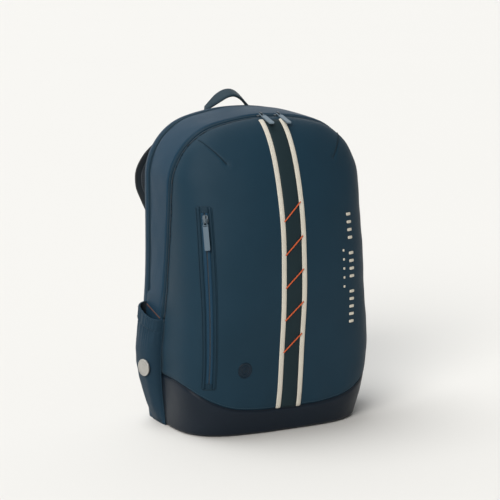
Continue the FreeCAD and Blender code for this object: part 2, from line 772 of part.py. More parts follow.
def ladder_lock():
    """A plastic buckle with four cross bars and three slots."""
    width = WEB_W + 9.0
    frame = Part.makeBox(width, 4.0, LOCK_H, Vector(-width / 2, -2, -LOCK_H + 6.0))
    for z in (-17.0, -9.0, -1.0):
        slot = Part.makeBox(WEB_W + 2.0, 6.0, 4.5, Vector(-WEB_W / 2 - 1.0, -3, z))
        frame = frame.cut(slot)
    frame.translate(Vector(*LOCK) + Vector(0, 1.2, -2.0))
    return frame


def back_gear():
    """Pads on the back panel, the strap yoke and the lower anchor tabs."""
    y0 = BACK_Y + PLAY
    wide = 2 * BACK_PAD_X
    pad = Part.makeBox(BACK_PAD_X - BACK_PAD_INNER_X, BACK_PAD_T, BACK_PAD_H,
                       Vector(-BACK_PAD_X, y0, BACK_PAD_Z))
    pad = pad.makeFillet(4.0, pad.Edges)
    lumbar = Part.makeBox(wide, BACK_PAD_T, LUMBAR_H, Vector(-BACK_PAD_X, y0, LUMBAR_Z))
    lumbar = lumbar.makeFillet(4.0, lumbar.Edges)
    yoke = Part.makeBox(wide, YOKE_T, YOKE_H, Vector(-BACK_PAD_X, y0, YOKE_Z))
    yoke = yoke.makeFillet(2.0, yoke.Edges)
    tab_points = [Vector(-134, y0, 16), Vector(-134, y0, 44), Vector(-98, y0, 52)]
    tab = Part.Face(Part.makePolygon(tab_points + tab_points[:1])).extrude(Vector(0, 3, 0))
    return {"back_pad_left": pad, "back_pad_right": mirrored(pad), "lumbar_pad": lumbar,
            "strap_yoke": yoke, "anchor_tabs": pair(tab)}


# ---- the whole backpack -------------------------------------------------------------------

def whole():
    shapes = {}
    shapes.update(front_walls())
    shapes.update(front_trim())
    shapes.update(pocket_pieces())
    shapes["emblem"] = emblem()
    shapes.update(front_zip())
    shapes.update(rear_zip())
    shapes.update(front_sliders())
    shapes.update(pocket_slider_pieces())
    shapes.update(rear_slider_pieces())
    shapes.update(body_panels())
    shapes["bottom_panel"] = bottom_panel()
    shapes.update(inner_pieces())
    shapes.update(side_pockets())
    shapes["pocket_badge"] = pocket_badge()
    shapes["grab_handle"] = handle()
    for name, shape in straps().items():
        shapes[name + "_left"] = shape
        shapes[name + "_right"] = mirrored(shape)
    shapes.update(back_gear())
    return shapes


os.makedirs("parts", exist_ok=True)
for node, solid in whole().items():
    solid.exportStep("parts/" + node + ".step")
    size = solid.optimalBoundingBox(False)
    print(node, len(solid.Solids), solid.isValid(), round(solid.Volume / 1000.0, 2),
          [round(v, 1) for v in (size.XMin, size.YMin, size.ZMin, size.XMax, size.YMax, size.ZMax)])
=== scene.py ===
"""Looks of the racket backpack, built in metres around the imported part.

-Y is the front, +Z is up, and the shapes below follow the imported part's own outlines.
"""
import math

import bmesh
import bpy
import numpy as np
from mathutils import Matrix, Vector


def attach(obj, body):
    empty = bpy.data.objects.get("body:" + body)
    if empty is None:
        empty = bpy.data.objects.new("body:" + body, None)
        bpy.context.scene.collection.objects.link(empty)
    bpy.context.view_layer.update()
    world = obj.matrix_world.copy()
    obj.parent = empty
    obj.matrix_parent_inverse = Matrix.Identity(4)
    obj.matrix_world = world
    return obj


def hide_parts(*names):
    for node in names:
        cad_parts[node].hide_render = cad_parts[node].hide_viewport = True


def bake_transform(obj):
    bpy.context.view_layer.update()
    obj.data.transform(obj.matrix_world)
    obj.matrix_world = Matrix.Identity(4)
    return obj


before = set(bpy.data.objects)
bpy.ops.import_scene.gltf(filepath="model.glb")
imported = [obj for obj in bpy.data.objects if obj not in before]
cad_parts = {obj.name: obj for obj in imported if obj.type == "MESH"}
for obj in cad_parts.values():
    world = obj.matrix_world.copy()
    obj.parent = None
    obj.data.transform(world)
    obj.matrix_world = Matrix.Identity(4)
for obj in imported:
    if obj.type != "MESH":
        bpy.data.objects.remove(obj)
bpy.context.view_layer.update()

# ---- driving dimensions, metres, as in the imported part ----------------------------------
FRONT_HEIGHT = 0.466
HALF_WIDTH = 0.152
CORNER_R = 0.090
CORNER_ANGLE = math.radians(74.0)
LEAN = 0.105
LEAN_Z = 0.250
DOME_DEPTH = 0.114
DOME_FULL_Z = 0.150
BASE_DEPTH = 0.108
BAND = 0.014
OPENING_Z = 0.165
REAR_ZIP_Z = 0.196
REAR_BAND_Y = 0.064
BACK_Y = 0.104
SEAM_Z = 0.038
SEAM_RISE = 0.047
SEAM_HALF = 0.160
STRIPE_X = 0.0167
WEBBING_W = 0.0078
STRIPE_TOP = 0.4625
POCKET_X = -0.127
GUARD = 0.0015             # how far each panel's edge runs over a zip's band
ZIP_MIDDLE = BAND / 2
COIL_SINK = 0.0042          # the teeth lie under the zip's folded edges
POCKET_LOW = 0.078
POCKET_HIGH = 0.345
POCKET_HALF = 0.0085
POCKET_SLIT = 0.0050
EMBLEM = (-0.0755, 0.104)
SIDE_POCKET_REAR = 0.079
SIDE_POCKET_TOP = 0.181
MOUTH_SLOPE = math.tan(math.radians(14.0))
HEM_H = 0.020
POCKET_ROOT = 0.006
BADGE = (0.034, 0.092)     # y and z on the left pocket
HANDLE_Y = 0.115
HANDLE_Z = 0.4675
HANDLE_HALF = 0.039
HANDLE_RISE = 0.024
HANDLE_BELL = 1.15
HANDLE_LEG = 0.006
HANDLE_T = 0.0038
HANDLE_ROOT_W = 0.013
HANDLE_W = 0.022
HANDLE_LEAN = math.radians(25.0)
STRAP_PATH = ((-0.062, 0.116, 0.436), (-0.077, 0.135, 0.421), (-0.093, 0.151, 0.398),
              (-0.102, 0.161, 0.373), (-0.103, 0.160, 0.348), (-0.099, 0.151, 0.327),
              (-0.094, 0.141, 0.305), (-0.090, 0.135, 0.280), (-0.089, 0.132, 0.250),
              (-0.094, 0.131, 0.215), (-0.099, 0.131, 0.185))
STRAP_WIDTH = (0.060, 0.064, 0.066, 0.066, 0.066, 0.064, 0.061, 0.059, 0.056, 0.051, 0.044)
WEB_W = 0.025
LOCK = (-0.100, 0.126, 0.164)
LOCK_H = 0.026
TAB_END = (-0.110, 0.110, 0.050)

CORNER_X = HALF_WIDTH - CORNER_R
TOP_R = CORNER_R + CORNER_X / math.cos(CORNER_ANGLE)
SHOULDER_Z = FRONT_HEIGHT - TOP_R + CORNER_X * math.tan(CORNER_ANGLE)
TOP_CENTRE_Z = FRONT_HEIGHT - TOP_R
CORNER_END_Z = SHOULDER_Z + CORNER_R * math.sin(CORNER_ANGLE)


# ---- the body's surfaces ----------------------------------------------------------------

def zip_y(z):
    """y of the front zip's plane at height z."""
    return -LEAN * (z - LEAN_Z)


def side_width(z):
    belly = 0.008 * np.exp(-((z - 0.115) / 0.080) ** 2)
    foot = 0.005 * np.exp(-((z + 0.010) / 0.045) ** 2)
    return HALF_WIDTH + belly - foot


def half_width(z):
    z = np.asarray(z, float)
    corner = CORNER_X + np.sqrt(np.clip(CORNER_R ** 2 - (z - SHOULDER_Z) ** 2, 0, None))
    top = np.sqrt(np.clip(TOP_R ** 2 - (z - TOP_CENTRE_Z) ** 2, 0, None))
    return np.where(z < SHOULDER_Z, side_width(z), np.where(z < CORNER_END_Z, corner, top))


def dome_depth(z):
    z = np.asarray(z, float)
    rise = np.clip(z / 0.060, 0, 1) ** 0.7
    low = BASE_DEPTH + (DOME_DEPTH - BASE_DEPTH) * rise
    part = np.clip((z - DOME_FULL_Z) / (FRONT_HEIGHT - DOME_FULL_Z), 0, 1)
    return np.where(z < DOME_FULL_Z, low, DOME_DEPTH * (1 - part ** 2.2) ** 0.62)


def fullness(z):
    return np.interp(z, (0, 0.040, 0.110, 0.200, 0.300, 0.400, 0.466),
                     (3.45, 3.9, 4.0, 3.4, 2.7, 2.1, 2.0))


def front_y(x, z, out=0.0):
    """y of the front's surface at (x, z), out metres proud of it."""
    power = fullness(z)
    share = np.clip(np.abs(x) / (half_width(z) + out), 0, 1) ** power
    return zip_y(z) - (dome_depth(z) + out) * (1 - share) ** (1 / power)


DARTS = (((-0.1165, 0.4375), (-0.089, 0.4054)), ((0.1165, 0.4375), (0.089, 0.4054)))


def line_distance(x, z, start, end):
    """Distance from (x, z) to a line, and how far along it the nearest place is, 0 to 1."""
    dx, dz = end[0] - start[0], end[1] - start[1]
    share = np.clip(((x - start[0]) * dx + (z - start[1]) * dz) / (dx * dx + dz * dz), 0, 1)
    return np.hypot(x - start[0] - share * dx, z - start[1] - share * dz), share


def front_relief(x, z):
    """Small shapes of the front's fabric: darts, soft hollows and ripples near the base."""
    out = np.zeros_like(x)
    for start, end in DARTS:
        gap, share = line_distance(x, z, start, end)
        out -= 0.0016 * np.exp(-(gap / 0.0012) ** 2) * (0.2 + 0.8 * share)
        out += 0.0012 * np.exp(-(gap / 0.010) ** 2) * share
        tip = np.hypot(x - end[0], z - end[1])
        out -= 0.0012 * np.exp(-(tip / 0.006) ** 2)
        below = np.hypot((x - end[0] * 1.02) / 0.030, (z - end[1] + 0.045) / 0.050)
        out -= 0.0022 * np.exp(-below ** 2)
    out += 0.0008 * noise3(np.stack([x, 0 * x, z], -1), 0.045)
    low = np.exp(-((z - seam_z(x) - 0.012) / 0.018) ** 2)
    out += 0.0009 * low * np.sin(x / 0.0075 + 18 * z) * np.exp(-(x / 0.11) ** 2)
    out -= 0.0012 * np.exp(-((z - seam_z(x)) / 0.0035) ** 2)
    edge = np.abs(x) / half_width(z)
    out += 0.0003 * np.sin(z / 0.006) * np.clip(edge - 0.8, 0, 1) * 4
    return out


def front_point(x, z, out=0.0):
    """A point on the front and its outward normal, as arrays of shape (n, 3)."""
    x, z = np.broadcast_arrays(np.asarray(x, float), np.asarray(z, float))
    step = 0.0008
    out = np.asarray(out) + front_relief(x, z)
    base = np.stack([x, front_y(x, z), z], -1)
    across = np.stack([np.full_like(x, 2 * step),
                       front_y(x + step, z) - front_y(x - step, z), np.zeros_like(x)], -1)
    upward = np.stack([np.zeros_like(x),
                       front_y(x, z + step) - front_y(x, z - step), np.full_like(x, 2 * step)], -1)
    normal = np.cross(across, upward)
    normal /= np.linalg.norm(normal, axis=-1, keepdims=True)
    return base + normal * out[..., None], normal


def seam_z(x):
    """Height of the base seam across the front."""
    return SEAM_Z + SEAM_RISE * np.minimum(np.abs(x) / SEAM_HALF, 1.25) ** 3.5


def station(y, lean=0.0, height=FRONT_HEIGHT, width=1.0):
    return np.array([y, lean, height, width])


def front_station(depth):
    grow = depth / BAND
    return station(depth, -LEAN, FRONT_HEIGHT + 0.0035 * grow, 1 + 0.003 * grow)


def rear_station(y):
    past = max(y - REAR_BAND_Y - BAND, 0.0) / (BACK_Y - REAR_BAND_Y - BAND)
    return station(y, 0.0, 0.4745 - 0.0085 * past ** 2, 1 - 0.075 * past ** 2)


def outline_xz(inset, count=150):
    """Half outline from the ground up to the middle of the top, evenly spread, drawn in."""
    side = np.linspace(0, SHOULDER_Z, 160)
    turn = np.linspace(0, CORNER_ANGLE, 60)[1:]
    top = np.linspace(CORNER_ANGLE, math.pi / 2, 50)[1:]
    x = np.concatenate([side_width(side) - inset,
                        CORNER_X + (CORNER_R - inset) * np.cos(turn),
                        (TOP_R - inset) * np.cos(top)])
    z = np.concatenate([side, SHOULDER_Z + (CORNER_R - inset) * np.sin(turn),
                        TOP_CENTRE_Z + (TOP_R - inset) * np.sin(top)])
    reach = np.concatenate([[0], np.cumsum(np.hypot(np.diff(x), np.diff(z)))])
    even = np.linspace(0, reach[-1], count)
    return np.interp(even, reach, x), np.interp(even, reach, z)


def outline(where, inset=0.0, count=150):
    """The whole outline at a station, from the right foot over the top to the left foot."""
    y, lean, height, width = where
    x, z = outline_xz(inset, count)
    x = np.concatenate([x, -x[-2::-1]]) * width
    z = np.concatenate([z, z[-2::-1]]) * height / FRONT_HEIGHT
    return np.stack([x, y + lean * (z - LEAN_Z) + 0 * x, z], -1)


def between(a, b, share):
    return a * (1 - share) + b * share


def smooth_step(value, low, high):
    share = np.clip((value - low) / (high - low), 0, 1)
    return share * share * (3 - 2 * share)


def above(line, low):
    """The part of an outline that is higher than low."""
    return line[line[:, 2] > low]


def outward(line):
    """Outward directions along an outline, square to it and to the body's depth."""
    run = np.gradient(line, axis=0)
    out = np.cross(run, (0, 1, 0))
    out /= np.linalg.norm(out, axis=1, keepdims=True)
    middle = len(line) // 2
    return out if out[middle, 2] > 0 else -out


# ---- mesh tools -------------------------------------------------------------------------

def new_object(name, points, faces, uvs=None):
    mesh = bpy.data.meshes.new(name)
    mesh.from_pydata([tuple(p) for p in points], [], faces)
    if uvs is not None:
        layer = mesh.uv_layers.new(name="UVMap")
        loops = np.empty(len(mesh.loops), int)
        mesh.loops.foreach_get("vertex_index", loops)
        layer.data.foreach_set("uv", np.asarray(uvs, float)[loops].ravel())
    mesh.update()
    obj = bpy.data.objects.new(name, mesh)
    bpy.context.scene.collection.objects.link(obj)
    mesh.shade_smooth()
    return obj


def grid(name, rows, closed=False, flip=False):
    """A sheet through rows of points; closed joins each row's ends. Its UVs are in metres."""
    rows = np.asarray(rows, float)
    count, width = rows.shape[:2]
    index = np.arange(count * width).reshape(count, width)
    if closed:
        index = np.concatenate([index, index[:, :1]], 1)
    a, b = index[:-1, :-1].ravel(), index[:-1, 1:].ravel()
    c, d = index[1:, 1:].ravel(), index[1:, :-1].ravel()
    quads = np.stack([a, d, c, b] if flip else [a, b, c, d], -1)
    along = np.linalg.norm(np.diff(rows, axis=1), axis=2).mean(0)
    across = np.linalg.norm(np.diff(rows, axis=0), axis=2).mean(1)
    u = np.concatenate([[0], np.cumsum(along)])
    v = np.concatenate([[0], np.cumsum(across)])
    uv = np.stack(np.meshgrid(u, v), -1).reshape(-1, 2)
    return new_object(name, rows.reshape(-1, 3), quads.tolist(), uv)


def weld(obj, gap=1e-5):
    """Merges points that lie on each other."""
    shape = bmesh.new()
    shape.from_mesh(obj.data)
    bmesh.ops.remove_doubles(shape, verts=shape.verts, dist=gap)
    shape.to_mesh(obj.data)
    shape.free()
    obj.data.shade_smooth()
    return obj


def face_from(obj, centre):
    """Turns an open sheet's faces away from a centre."""
    lean = sum(p.normal.dot(p.center - Vector(centre)) * p.area for p in obj.data.polygons)
    if lean < 0:
        obj.data.flip_normals()
    return obj


def baked(obj):
    """Applies the object's modifiers to its mesh."""
    graph = bpy.context.evaluated_depsgraph_get()
    graph.update()
    mesh = bpy.data.meshes.new_from_object(obj.evaluated_get(graph))
    obj.modifiers.clear()
    obj.data = mesh
    return obj


def thicken(obj, thickness, inner=None, offset=-1.0):
    """Gives a sheet real thickness; inner is the material of its other face."""
    solid = obj.modifiers.new("thickness", "SOLIDIFY")
    solid.thickness = thickness
    solid.offset = offset
    solid.use_even_offset = False
    if inner:
        obj.data.materials.append(inner)
        solid.material_offset = 1
    return baked(obj)


def rounded(obj, levels=1):
    smooth = obj.modifiers.new("smooth", "SUBSURF")
    smooth.levels = levels
    smooth.render_levels = levels
    return baked(obj)


def sweep(name, path, side, width, thick, power=4.0, steps=20, crown=0.0):
    """A closed strap along path: side gives its width's direction, and its edges are rounded."""
    path = np.asarray(path, float)
    count = len(path)
    side = np.broadcast_to(np.asarray(side, float), path.shape)
    side = side / np.linalg.norm(side, axis=1, keepdims=True)
    run = np.gradient(path, axis=0)
    run /= np.linalg.norm(run, axis=1, keepdims=True)
    up = np.cross(run, side)
    up /= np.linalg.norm(up, axis=1, keepdims=True)
    width = np.broadcast_to(np.asarray(width, float), (count,))
    thick = np.broadcast_to(np.asarray(thick, float), (count,))
    turn = np.linspace(0, 2 * math.pi, steps, endpoint=False)
    c, s = np.cos(turn), np.sin(turn)
    px = np.sign(c) * np.abs(c) ** (2 / power)
    pz = np.sign(s) * np.abs(s) ** (2 / power)
    rows = []
    for i in range(count):
        ring = (path[i] + np.outer(px * width[i] / 2, side[i])
                + np.outer(pz * thick[i] / 2 + crown * (1 - px ** 2), up[i]))
        rows.append(ring)
    obj = grid(name, rows, closed=True)
    cap_ends(obj, count, steps)
    return obj


def cap_ends(obj, count, steps):
    shape = bmesh.new()
    shape.from_mesh(obj.data)
    shape.verts.ensure_lookup_table()
    shape.faces.new([shape.verts[i] for i in range(steps)][::-1])
    shape.faces.new([shape.verts[(count - 1) * steps + i] for i in range(steps)])
    bmesh.ops.recalc_face_normals(shape, faces=shape.faces)
    shape.to_mesh(obj.data)
    shape.free()
    obj.data.shade_smooth()


def curve_through(points, count):
    """A smooth line through the points, evenly sampled."""
    points = np.asarray(points, float)
    reach = np.concatenate([[0], np.cumsum(np.linalg.norm(np.diff(points, axis=0), axis=1))])
    fine = np.linspace(0, reach[-1], count)
    padded = np.vstack([2 * points[0] - points[1], points, 2 * points[-1] - points[-2]])
    result = []
    for value in fine:
        i = min(int(np.searchsorted(reach, value, side="right")) - 1, len(points) - 2)
        t = (value - reach[i]) / (reach[i + 1] - reach[i])
        p0, p1, p2, p3 = padded[i:i + 4]
        result.append(0.5 * (2 * p1 + (p2 - p0) * t + (2 * p0 - 5 * p1 + 4 * p2 - p3) * t ** 2
                             + (3 * p1 - p0 - 3 * p2 + p3) * t ** 3))
    return np.array(result)


def resampled(path, pitch):
    path = np.asarray(path, float)
    reach = np.concatenate([[0], np.cumsum(np.linalg.norm(np.diff(path, axis=0), axis=1))])
    count = max(int(reach[-1] / pitch), 1)
    even = np.linspace(0, reach[-1], count + 1)
    return np.stack([np.interp(even, reach, path[:, k]) for k in range(3)], -1)


def thread(name, lines, normals, pitch=0.0032, gap=0.3, radius=0.00032):
    """Rows of single stitches along lines; each stitch is a small bead of thread."""
    points, faces = [], []
    ring = np.linspace(0, 2 * math.pi, 6, endpoint=False)
    for line, normal in zip(lines, normals):
        knots = resampled(line, pitch)
        normal = np.asarray(normal, float)
        for i in range(len(knots) - 1):
            here = knots[i] * (1 - gap / 2) + knots[i + 1] * gap / 2
            there = knots[i] * gap / 2 + knots[i + 1] * (1 - gap / 2)
            run = there - here
            run /= np.linalg.norm(run)
            if normal.ndim == 1:
                out = normal
            else:
                out = normal[min(int(i / max(len(knots) - 1, 1) * len(normal)), len(normal) - 1)]
            side = np.cross(run, out)
            side /= np.linalg.norm(side)
            out = np.cross(side, run)
            start = len(points)
            for share, size in ((0, 0.25), (0.18, 1.0), (0.82, 1.0), (1, 0.25)):
                centre = here * (1 - share) + there * share
                for angle in ring:
                    points.append(centre + radius * size
                                  * (math.cos(angle) * side + math.sin(angle) * out))
            for k in range(3):
                for m in range(6):
                    n = (m + 1) % 6
                    a = start + k * 6
                    faces.append((a + m, a + n, a + 6 + n, a + 6 + m))
            faces.append(tuple(start + m for m in range(6))[::-1])
            faces.append(tuple(start + 18 + m for m in range(6)))
    return new_object(name, points, faces)


def noise3(points, scale, seed=0.0):
    """Smooth repeatable noise from a few crossing waves."""
    p = np.asarray(points, float) / scale
    x, y, z = p[..., 0] + seed, p[..., 1] + 1.7 * seed, p[..., 2] - 0.6 * seed
    value = np.sin(1.9 * x + 1.3 * z + 0.7 * y) + np.sin(2.7 * z - 1.1 * x + 1.9)
    value += np.sin(1.3 * y - 2.1 * z + 0.8 * x + 4.1) + np.sin(3.1 * x + 0.9 * y - 1.7 * z + 2.3)
    return value / 4


# ---- materials --------------------------------------------------------------------------

class Paint:
    """A small helper that builds one node material."""

    def __init__(self, name, colour, rough, **sockets):
        self.material = bpy.data.materials.new(name)
        self.material.use_nodes = True
        self.nodes = self.material.node_tree.nodes
        self.links = self.material.node_tree.links
        self.shader = self.nodes["Principled BSDF"]
        self.shader.inputs["Base Color"].default_value = (*colour, 1)
        self.shader.inputs["Roughness"].default_value = rough
        for key, value in sockets.items():
            self.shader.inputs[key.replace("_", " ")].default_value = value
        self.colour = colour
        self.rough = rough
        self.place = self.nodes.new("ShaderNodeTexCoord")
        self.height = None

    def vector(self, kind, scale=(1, 1, 1), turn=0.0):
        mapping = self.nodes.new("ShaderNodeMapping")
        mapping.inputs["Scale"].default_value = scale
        mapping.inputs["Rotation"].default_value = (0, 0, turn)
        self.links.new(self.place.outputs[kind], mapping.inputs["Vector"])
        return mapping.outputs["Vector"]

    def noise(self, scale, detail=3.0, kind="Object", rough=0.55, stretch=(1, 1, 1)):
        node = self.nodes.new("ShaderNodeTexNoise")
        node.inputs["Scale"].default_value = scale
        node.inputs["Detail"].default_value = detail
        node.inputs["Roughness"].default_value = rough
        self.links.new(self.vector(kind, stretch), node.inputs["Vector"])
        return node.outputs["Fac"]

    def bands(self, pitch, kind, turn=0.0, direction="X", distort=0.0):
        node = self.nodes.new("ShaderNodeTexWave")
        node.wave_type = "BANDS"
        node.bands_direction = direction
        node.inputs["Scale"].default_value = 0.31416 / pitch
        node.inputs["Distortion"].default_value = distort
        self.links.new(self.vector(kind, turn=turn), node.inputs["Vector"])
        return node.outputs["Fac"]

    def math(self, operation, a, b):
        node = self.nodes.new("ShaderNodeMath")
        node.operation = operation
        for socket, value in zip(node.inputs, (a, b)):
            if isinstance(value, (int, float)):
                socket.default_value = value
            else:
                self.links.new(value, socket)
        return node.outputs[0]

    def ramp(self, value, low, high):
        node = self.nodes.new("ShaderNodeMapRange")
        node.inputs["To Min"].default_value = low
        node.inputs["To Max"].default_value = high
        self.links.new(value, node.inputs["Value"])
        return node.outputs["Result"]

    def tint(self, value, dark, light):
        """Base colour that goes from dark to light times the paint's own colour."""
        node = self.nodes.new("ShaderNodeMix")
        node.data_type = "RGBA"
        node.inputs[6].default_value = (*[c * dark for c in self.colour], 1)
        node.inputs[7].default_value = (*[min(c * light, 1) for c in self.colour], 1)
        self.links.new(value, node.inputs[0])
        self.links.new(node.outputs[2], self.shader.inputs["Base Color"])

    def gloss(self, value, low, high):
        self.links.new(self.ramp(value, low, high), self.shader.inputs["Roughness"])

    def bump(self, value, distance, strength=1.0):
        node = self.nodes.new("ShaderNodeBump")
        node.inputs["Distance"].default_value = distance
        node.inputs["Strength"].default_value = strength
        self.links.new(value, node.inputs["Height"])
        if self.height is not None:
            self.links.new(self.height, node.inputs["Normal"])
        self.height = node.outputs["Normal"]
        self.links.new(self.height, self.shader.inputs["Normal"])


def coated_cloth(name, colour, rough=0.5, pitch=0.0007):
    """Coated twill: fine slanted ribs under a soft film, a little cloudy."""
    paint = Paint(name, colour, rough, Specular_IOR_Level=0.10, Sheen_Weight=0.01)
    cloud = paint.noise(9.0, 4.0)
    grain = paint.noise(900.0, 2.0)
    paint.tint(paint.math("ADD", paint.math("MULTIPLY", cloud, 0.75),
                          paint.math("MULTIPLY", grain, 0.25)), 0.84, 1.16)
    paint.gloss(paint.noise(30.0, 3.0), rough - 0.06, rough + 0.08)
    paint.bump(paint.noise(26.0, 2.0), 0.0006, 0.22)
    twill = paint.math("MULTIPLY", paint.bands(pitch, "UV", 0.8), paint.bands(pitch, "UV", -0.5))
    paint.bump(twill, 0.00010, 0.5)
    return paint.material


def woven(name, colour, pitch=0.0011, rough=0.75, contrast=0.25, depth=0.00022):
    """Webbing: a herringbone of slanted ribs across the strap's own length."""
    paint = Paint(name, colour, rough, Specular_IOR_Level=0.25, Sheen_Weight=0.06)
    ribs = paint.bands(pitch, "UV", 0.7)
    cross = paint.bands(pitch * 0.8, "UV", -0.9)
    weave = paint.math("MULTIPLY", ribs, cross)
    mottled = paint.math("ADD", paint.math("MULTIPLY", weave, 0.6),
                         paint.math("MULTIPLY", paint.noise(60.0, 4.0), 0.4))
    paint.tint(mottled, 1 - contrast, 1 + contrast * 0.6)
    paint.bump(weave, depth, 0.8)
    paint.bump(paint.noise(700.0, 2.0), 0.00012, 0.3)
    return paint.material


def knit(name, colour, pitch=0.0034, rough=0.85):
    """Spacer mesh: rows of small round holes."""
    paint = Paint(name, colour, rough, Specular_IOR_Level=0.2, Sheen_Weight=0.08)
    node = paint.nodes.new("ShaderNodeTexVoronoi")
    node.inputs["Scale"].default_value = 1 / pitch
    node.inputs["Randomness"].default_value = 0.12
    paint.links.new(paint.vector("Object", (1, 0.8, 1)), node.inputs["Vector"])
    cell = paint.ramp(node.outputs["Distance"], 0.0, 1.3)
    paint.tint(cell, 0.35, 1.7)
    paint.bump(cell, 0.0007, 0.8)
    paint.bump(paint.noise(1200.0, 2.0), 0.0001, 0.3)
    return paint.material


def grained_leather(name, colour, rough=0.42):
    """Smooth faux leather with a fine pebble grain."""
    paint = Paint(name, colour, rough, Specular_IOR_Level=0.2)
    cells = paint.nodes.new("ShaderNodeTexVoronoi")
    cells.inputs["Scale"].default_value = 700.0
    paint.links.new(paint.vector("Object"), cells.inputs["Vector"])
    paint.tint(paint.noise(14.0, 5.0), 0.8, 1.2)
    paint.gloss(paint.noise(45.0, 3.0), rough - 0.08, rough + 0.1)
    paint.bump(paint.noise(30.0, 3.0), 0.0007, 0.25)
    paint.bump(cells.outputs["Distance"], 0.00014, 0.5)
    return paint.material


def satin_metal(name, colour, rough=0.32, metallic=1.0):
    paint = Paint(name, colour, rough, Metallic=metallic)
    brushed = paint.noise(420.0, 3.0, stretch=(1, 1, 0.08))
    paint.tint(brushed, 0.86, 1.12)
    paint.gloss(brushed, rough - 0.07, rough + 0.09)
    paint.bump(brushed, 0.00003, 0.4)
    return paint.material


def moulded(name, colour, rough=0.45):
    paint = Paint(name, colour, rough, Specular_IOR_Level=0.3)
    fine = paint.noise(500.0, 3.0)
    paint.tint(paint.noise(40.0, 3.0), 0.85, 1.15)
    paint.gloss(fine, rough - 0.05, rough + 0.07)
    paint.bump(fine, 0.00006, 0.35)
    return paint.material


def twisted_thread(name, colour):
    paint = Paint(name, colour, 0.6, Specular_IOR_Level=0.2, Sheen_Weight=0.05)
    strands = paint.noise(1500.0, 2.0)
    paint.tint(strands, 0.75, 1.25)
    paint.bump(strands, 0.0001, 0.6)
    return paint.material


NAVY = (0.0100, 0.0310, 0.0500)
FRONT_CLOTH = coated_cloth("front_cloth", NAVY, 0.50)
GUSSET_CLOTH = coated_cloth("gusset_cloth", (0.0100, 0.0350, 0.0620), 0.50)
POCKET_CLOTH = coated_cloth("pocket_cloth", (0.0120, 0.0320, 0.0520), 0.58)
WELT_CLOTH = coated_cloth("welt_cloth", (0.0085, 0.0260, 0.0420), 0.46)
STRIPE_CLOTH = coated_cloth("stripe_cloth", (0.0120, 0.0240, 0.0290), 0.60)
LINING = coated_cloth("lining_cloth", (0.020, 0.027, 0.034), 0.7, 0.0005)
BASE_LEATHER = grained_leather("base_leather", (0.0050, 0.0102, 0.0180))
PATCH_LEATHER = grained_leather("patch_leather", (0.0035, 0.0130, 0.0240), 0.36)
POCKET_TAPE = coated_cloth("pocket_tape", (0.0110, 0.0380, 0.0680), 0.42)
TAPE = woven("zip_tape", (0.0060, 0.0150, 0.0230), 0.0008, 0.7, 0.2)
CREAM = woven("cream_webbing", (0.66, 0.62, 0.53), 0.0012, 0.8, 0.22, 0.0003)
BLACK_WEB = woven("black_webbing", (0.012, 0.015, 0.019), 0.0014, 0.7, 0.3, 0.0003)
HANDLE_WEB = woven("handle_webbing", (0.010, 0.031, 0.046), 0.0013, 0.62, 0.2, 0.0002)
BACK_CLOTH = woven("back_cloth", (0.014, 0.019, 0.024), 0.0009, 0.85, 0.3)
MESH = knit("air_mesh", (0.022, 0.027, 0.033))
COIL = moulded("zip_coil", (0.009, 0.014, 0.018), 0.35)
PLASTIC = moulded("buckle_plastic", (0.013, 0.014, 0.016), 0.4)
SLIDER_METAL = satin_metal("slider_metal", (0.075, 0.095, 0.11), 0.36, 0.9)
PULL_METAL = satin_metal("pull_metal", (0.145, 0.20, 0.245), 0.40, 0.45)
POCKET_METAL = satin_metal("pocket_pull_metal", (0.070, 0.105, 0.135), 0.42, 0.40)
BADGE_METAL = satin_metal("badge_metal", (0.46, 0.45, 0.42), 0.34, 0.8)
ORANGE = twisted_thread("orange_thread", (0.52, 0.095, 0.028))
NAVY_THREAD = twisted_thread("navy_thread", (0.012, 0.033, 0.052))
PALE_THREAD = twisted_thread("pale_thread", (0.045, 0.085, 0.115))
BLACK_THREAD = twisted_thread("black_thread", (0.02, 0.022, 0.026))
BROWN_TRIM = woven("brown_trim", (0.10, 0.040, 0.028), 0.0009, 0.7, 0.25)
STRAP_CLOTH = coated_cloth("strap_cloth", (0.012, 0.017, 0.022), 0.6, 0.0009)
# the darts are the front's own cloth; this darker, greyer navy is painted shade in their creases
DART_SHADE_CLOTH = coated_cloth("dart_painted_shade_cloth", (0.010, 0.020, 0.028), 0.6)
PRINT = moulded("cream_print", (0.60, 0.56, 0.47), 0.6)


def dress(obj, material):
    if obj.data.materials:
        obj.data.materials[0] = material
    else:
        obj.data.materials.append(material)
    return obj


def on_front(obj):
    """A piece that lies on the front's fabric; its placement is baked into its mesh."""
    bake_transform(obj)
    return obj


def on_body(obj, body="shell"):
    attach(obj, body)
    return obj


# ---- camera, light and floor ------------------------------------------------------------

CAMERA_TURN = math.radians(27.0)
CAMERA_TILT = math.radians(9.9)
CAMERA_DISTANCE = 2.6
CAMERA_HEIGHT = 0.709
CAMERA_LENS = 123.55
FLOOR_HALF = 40


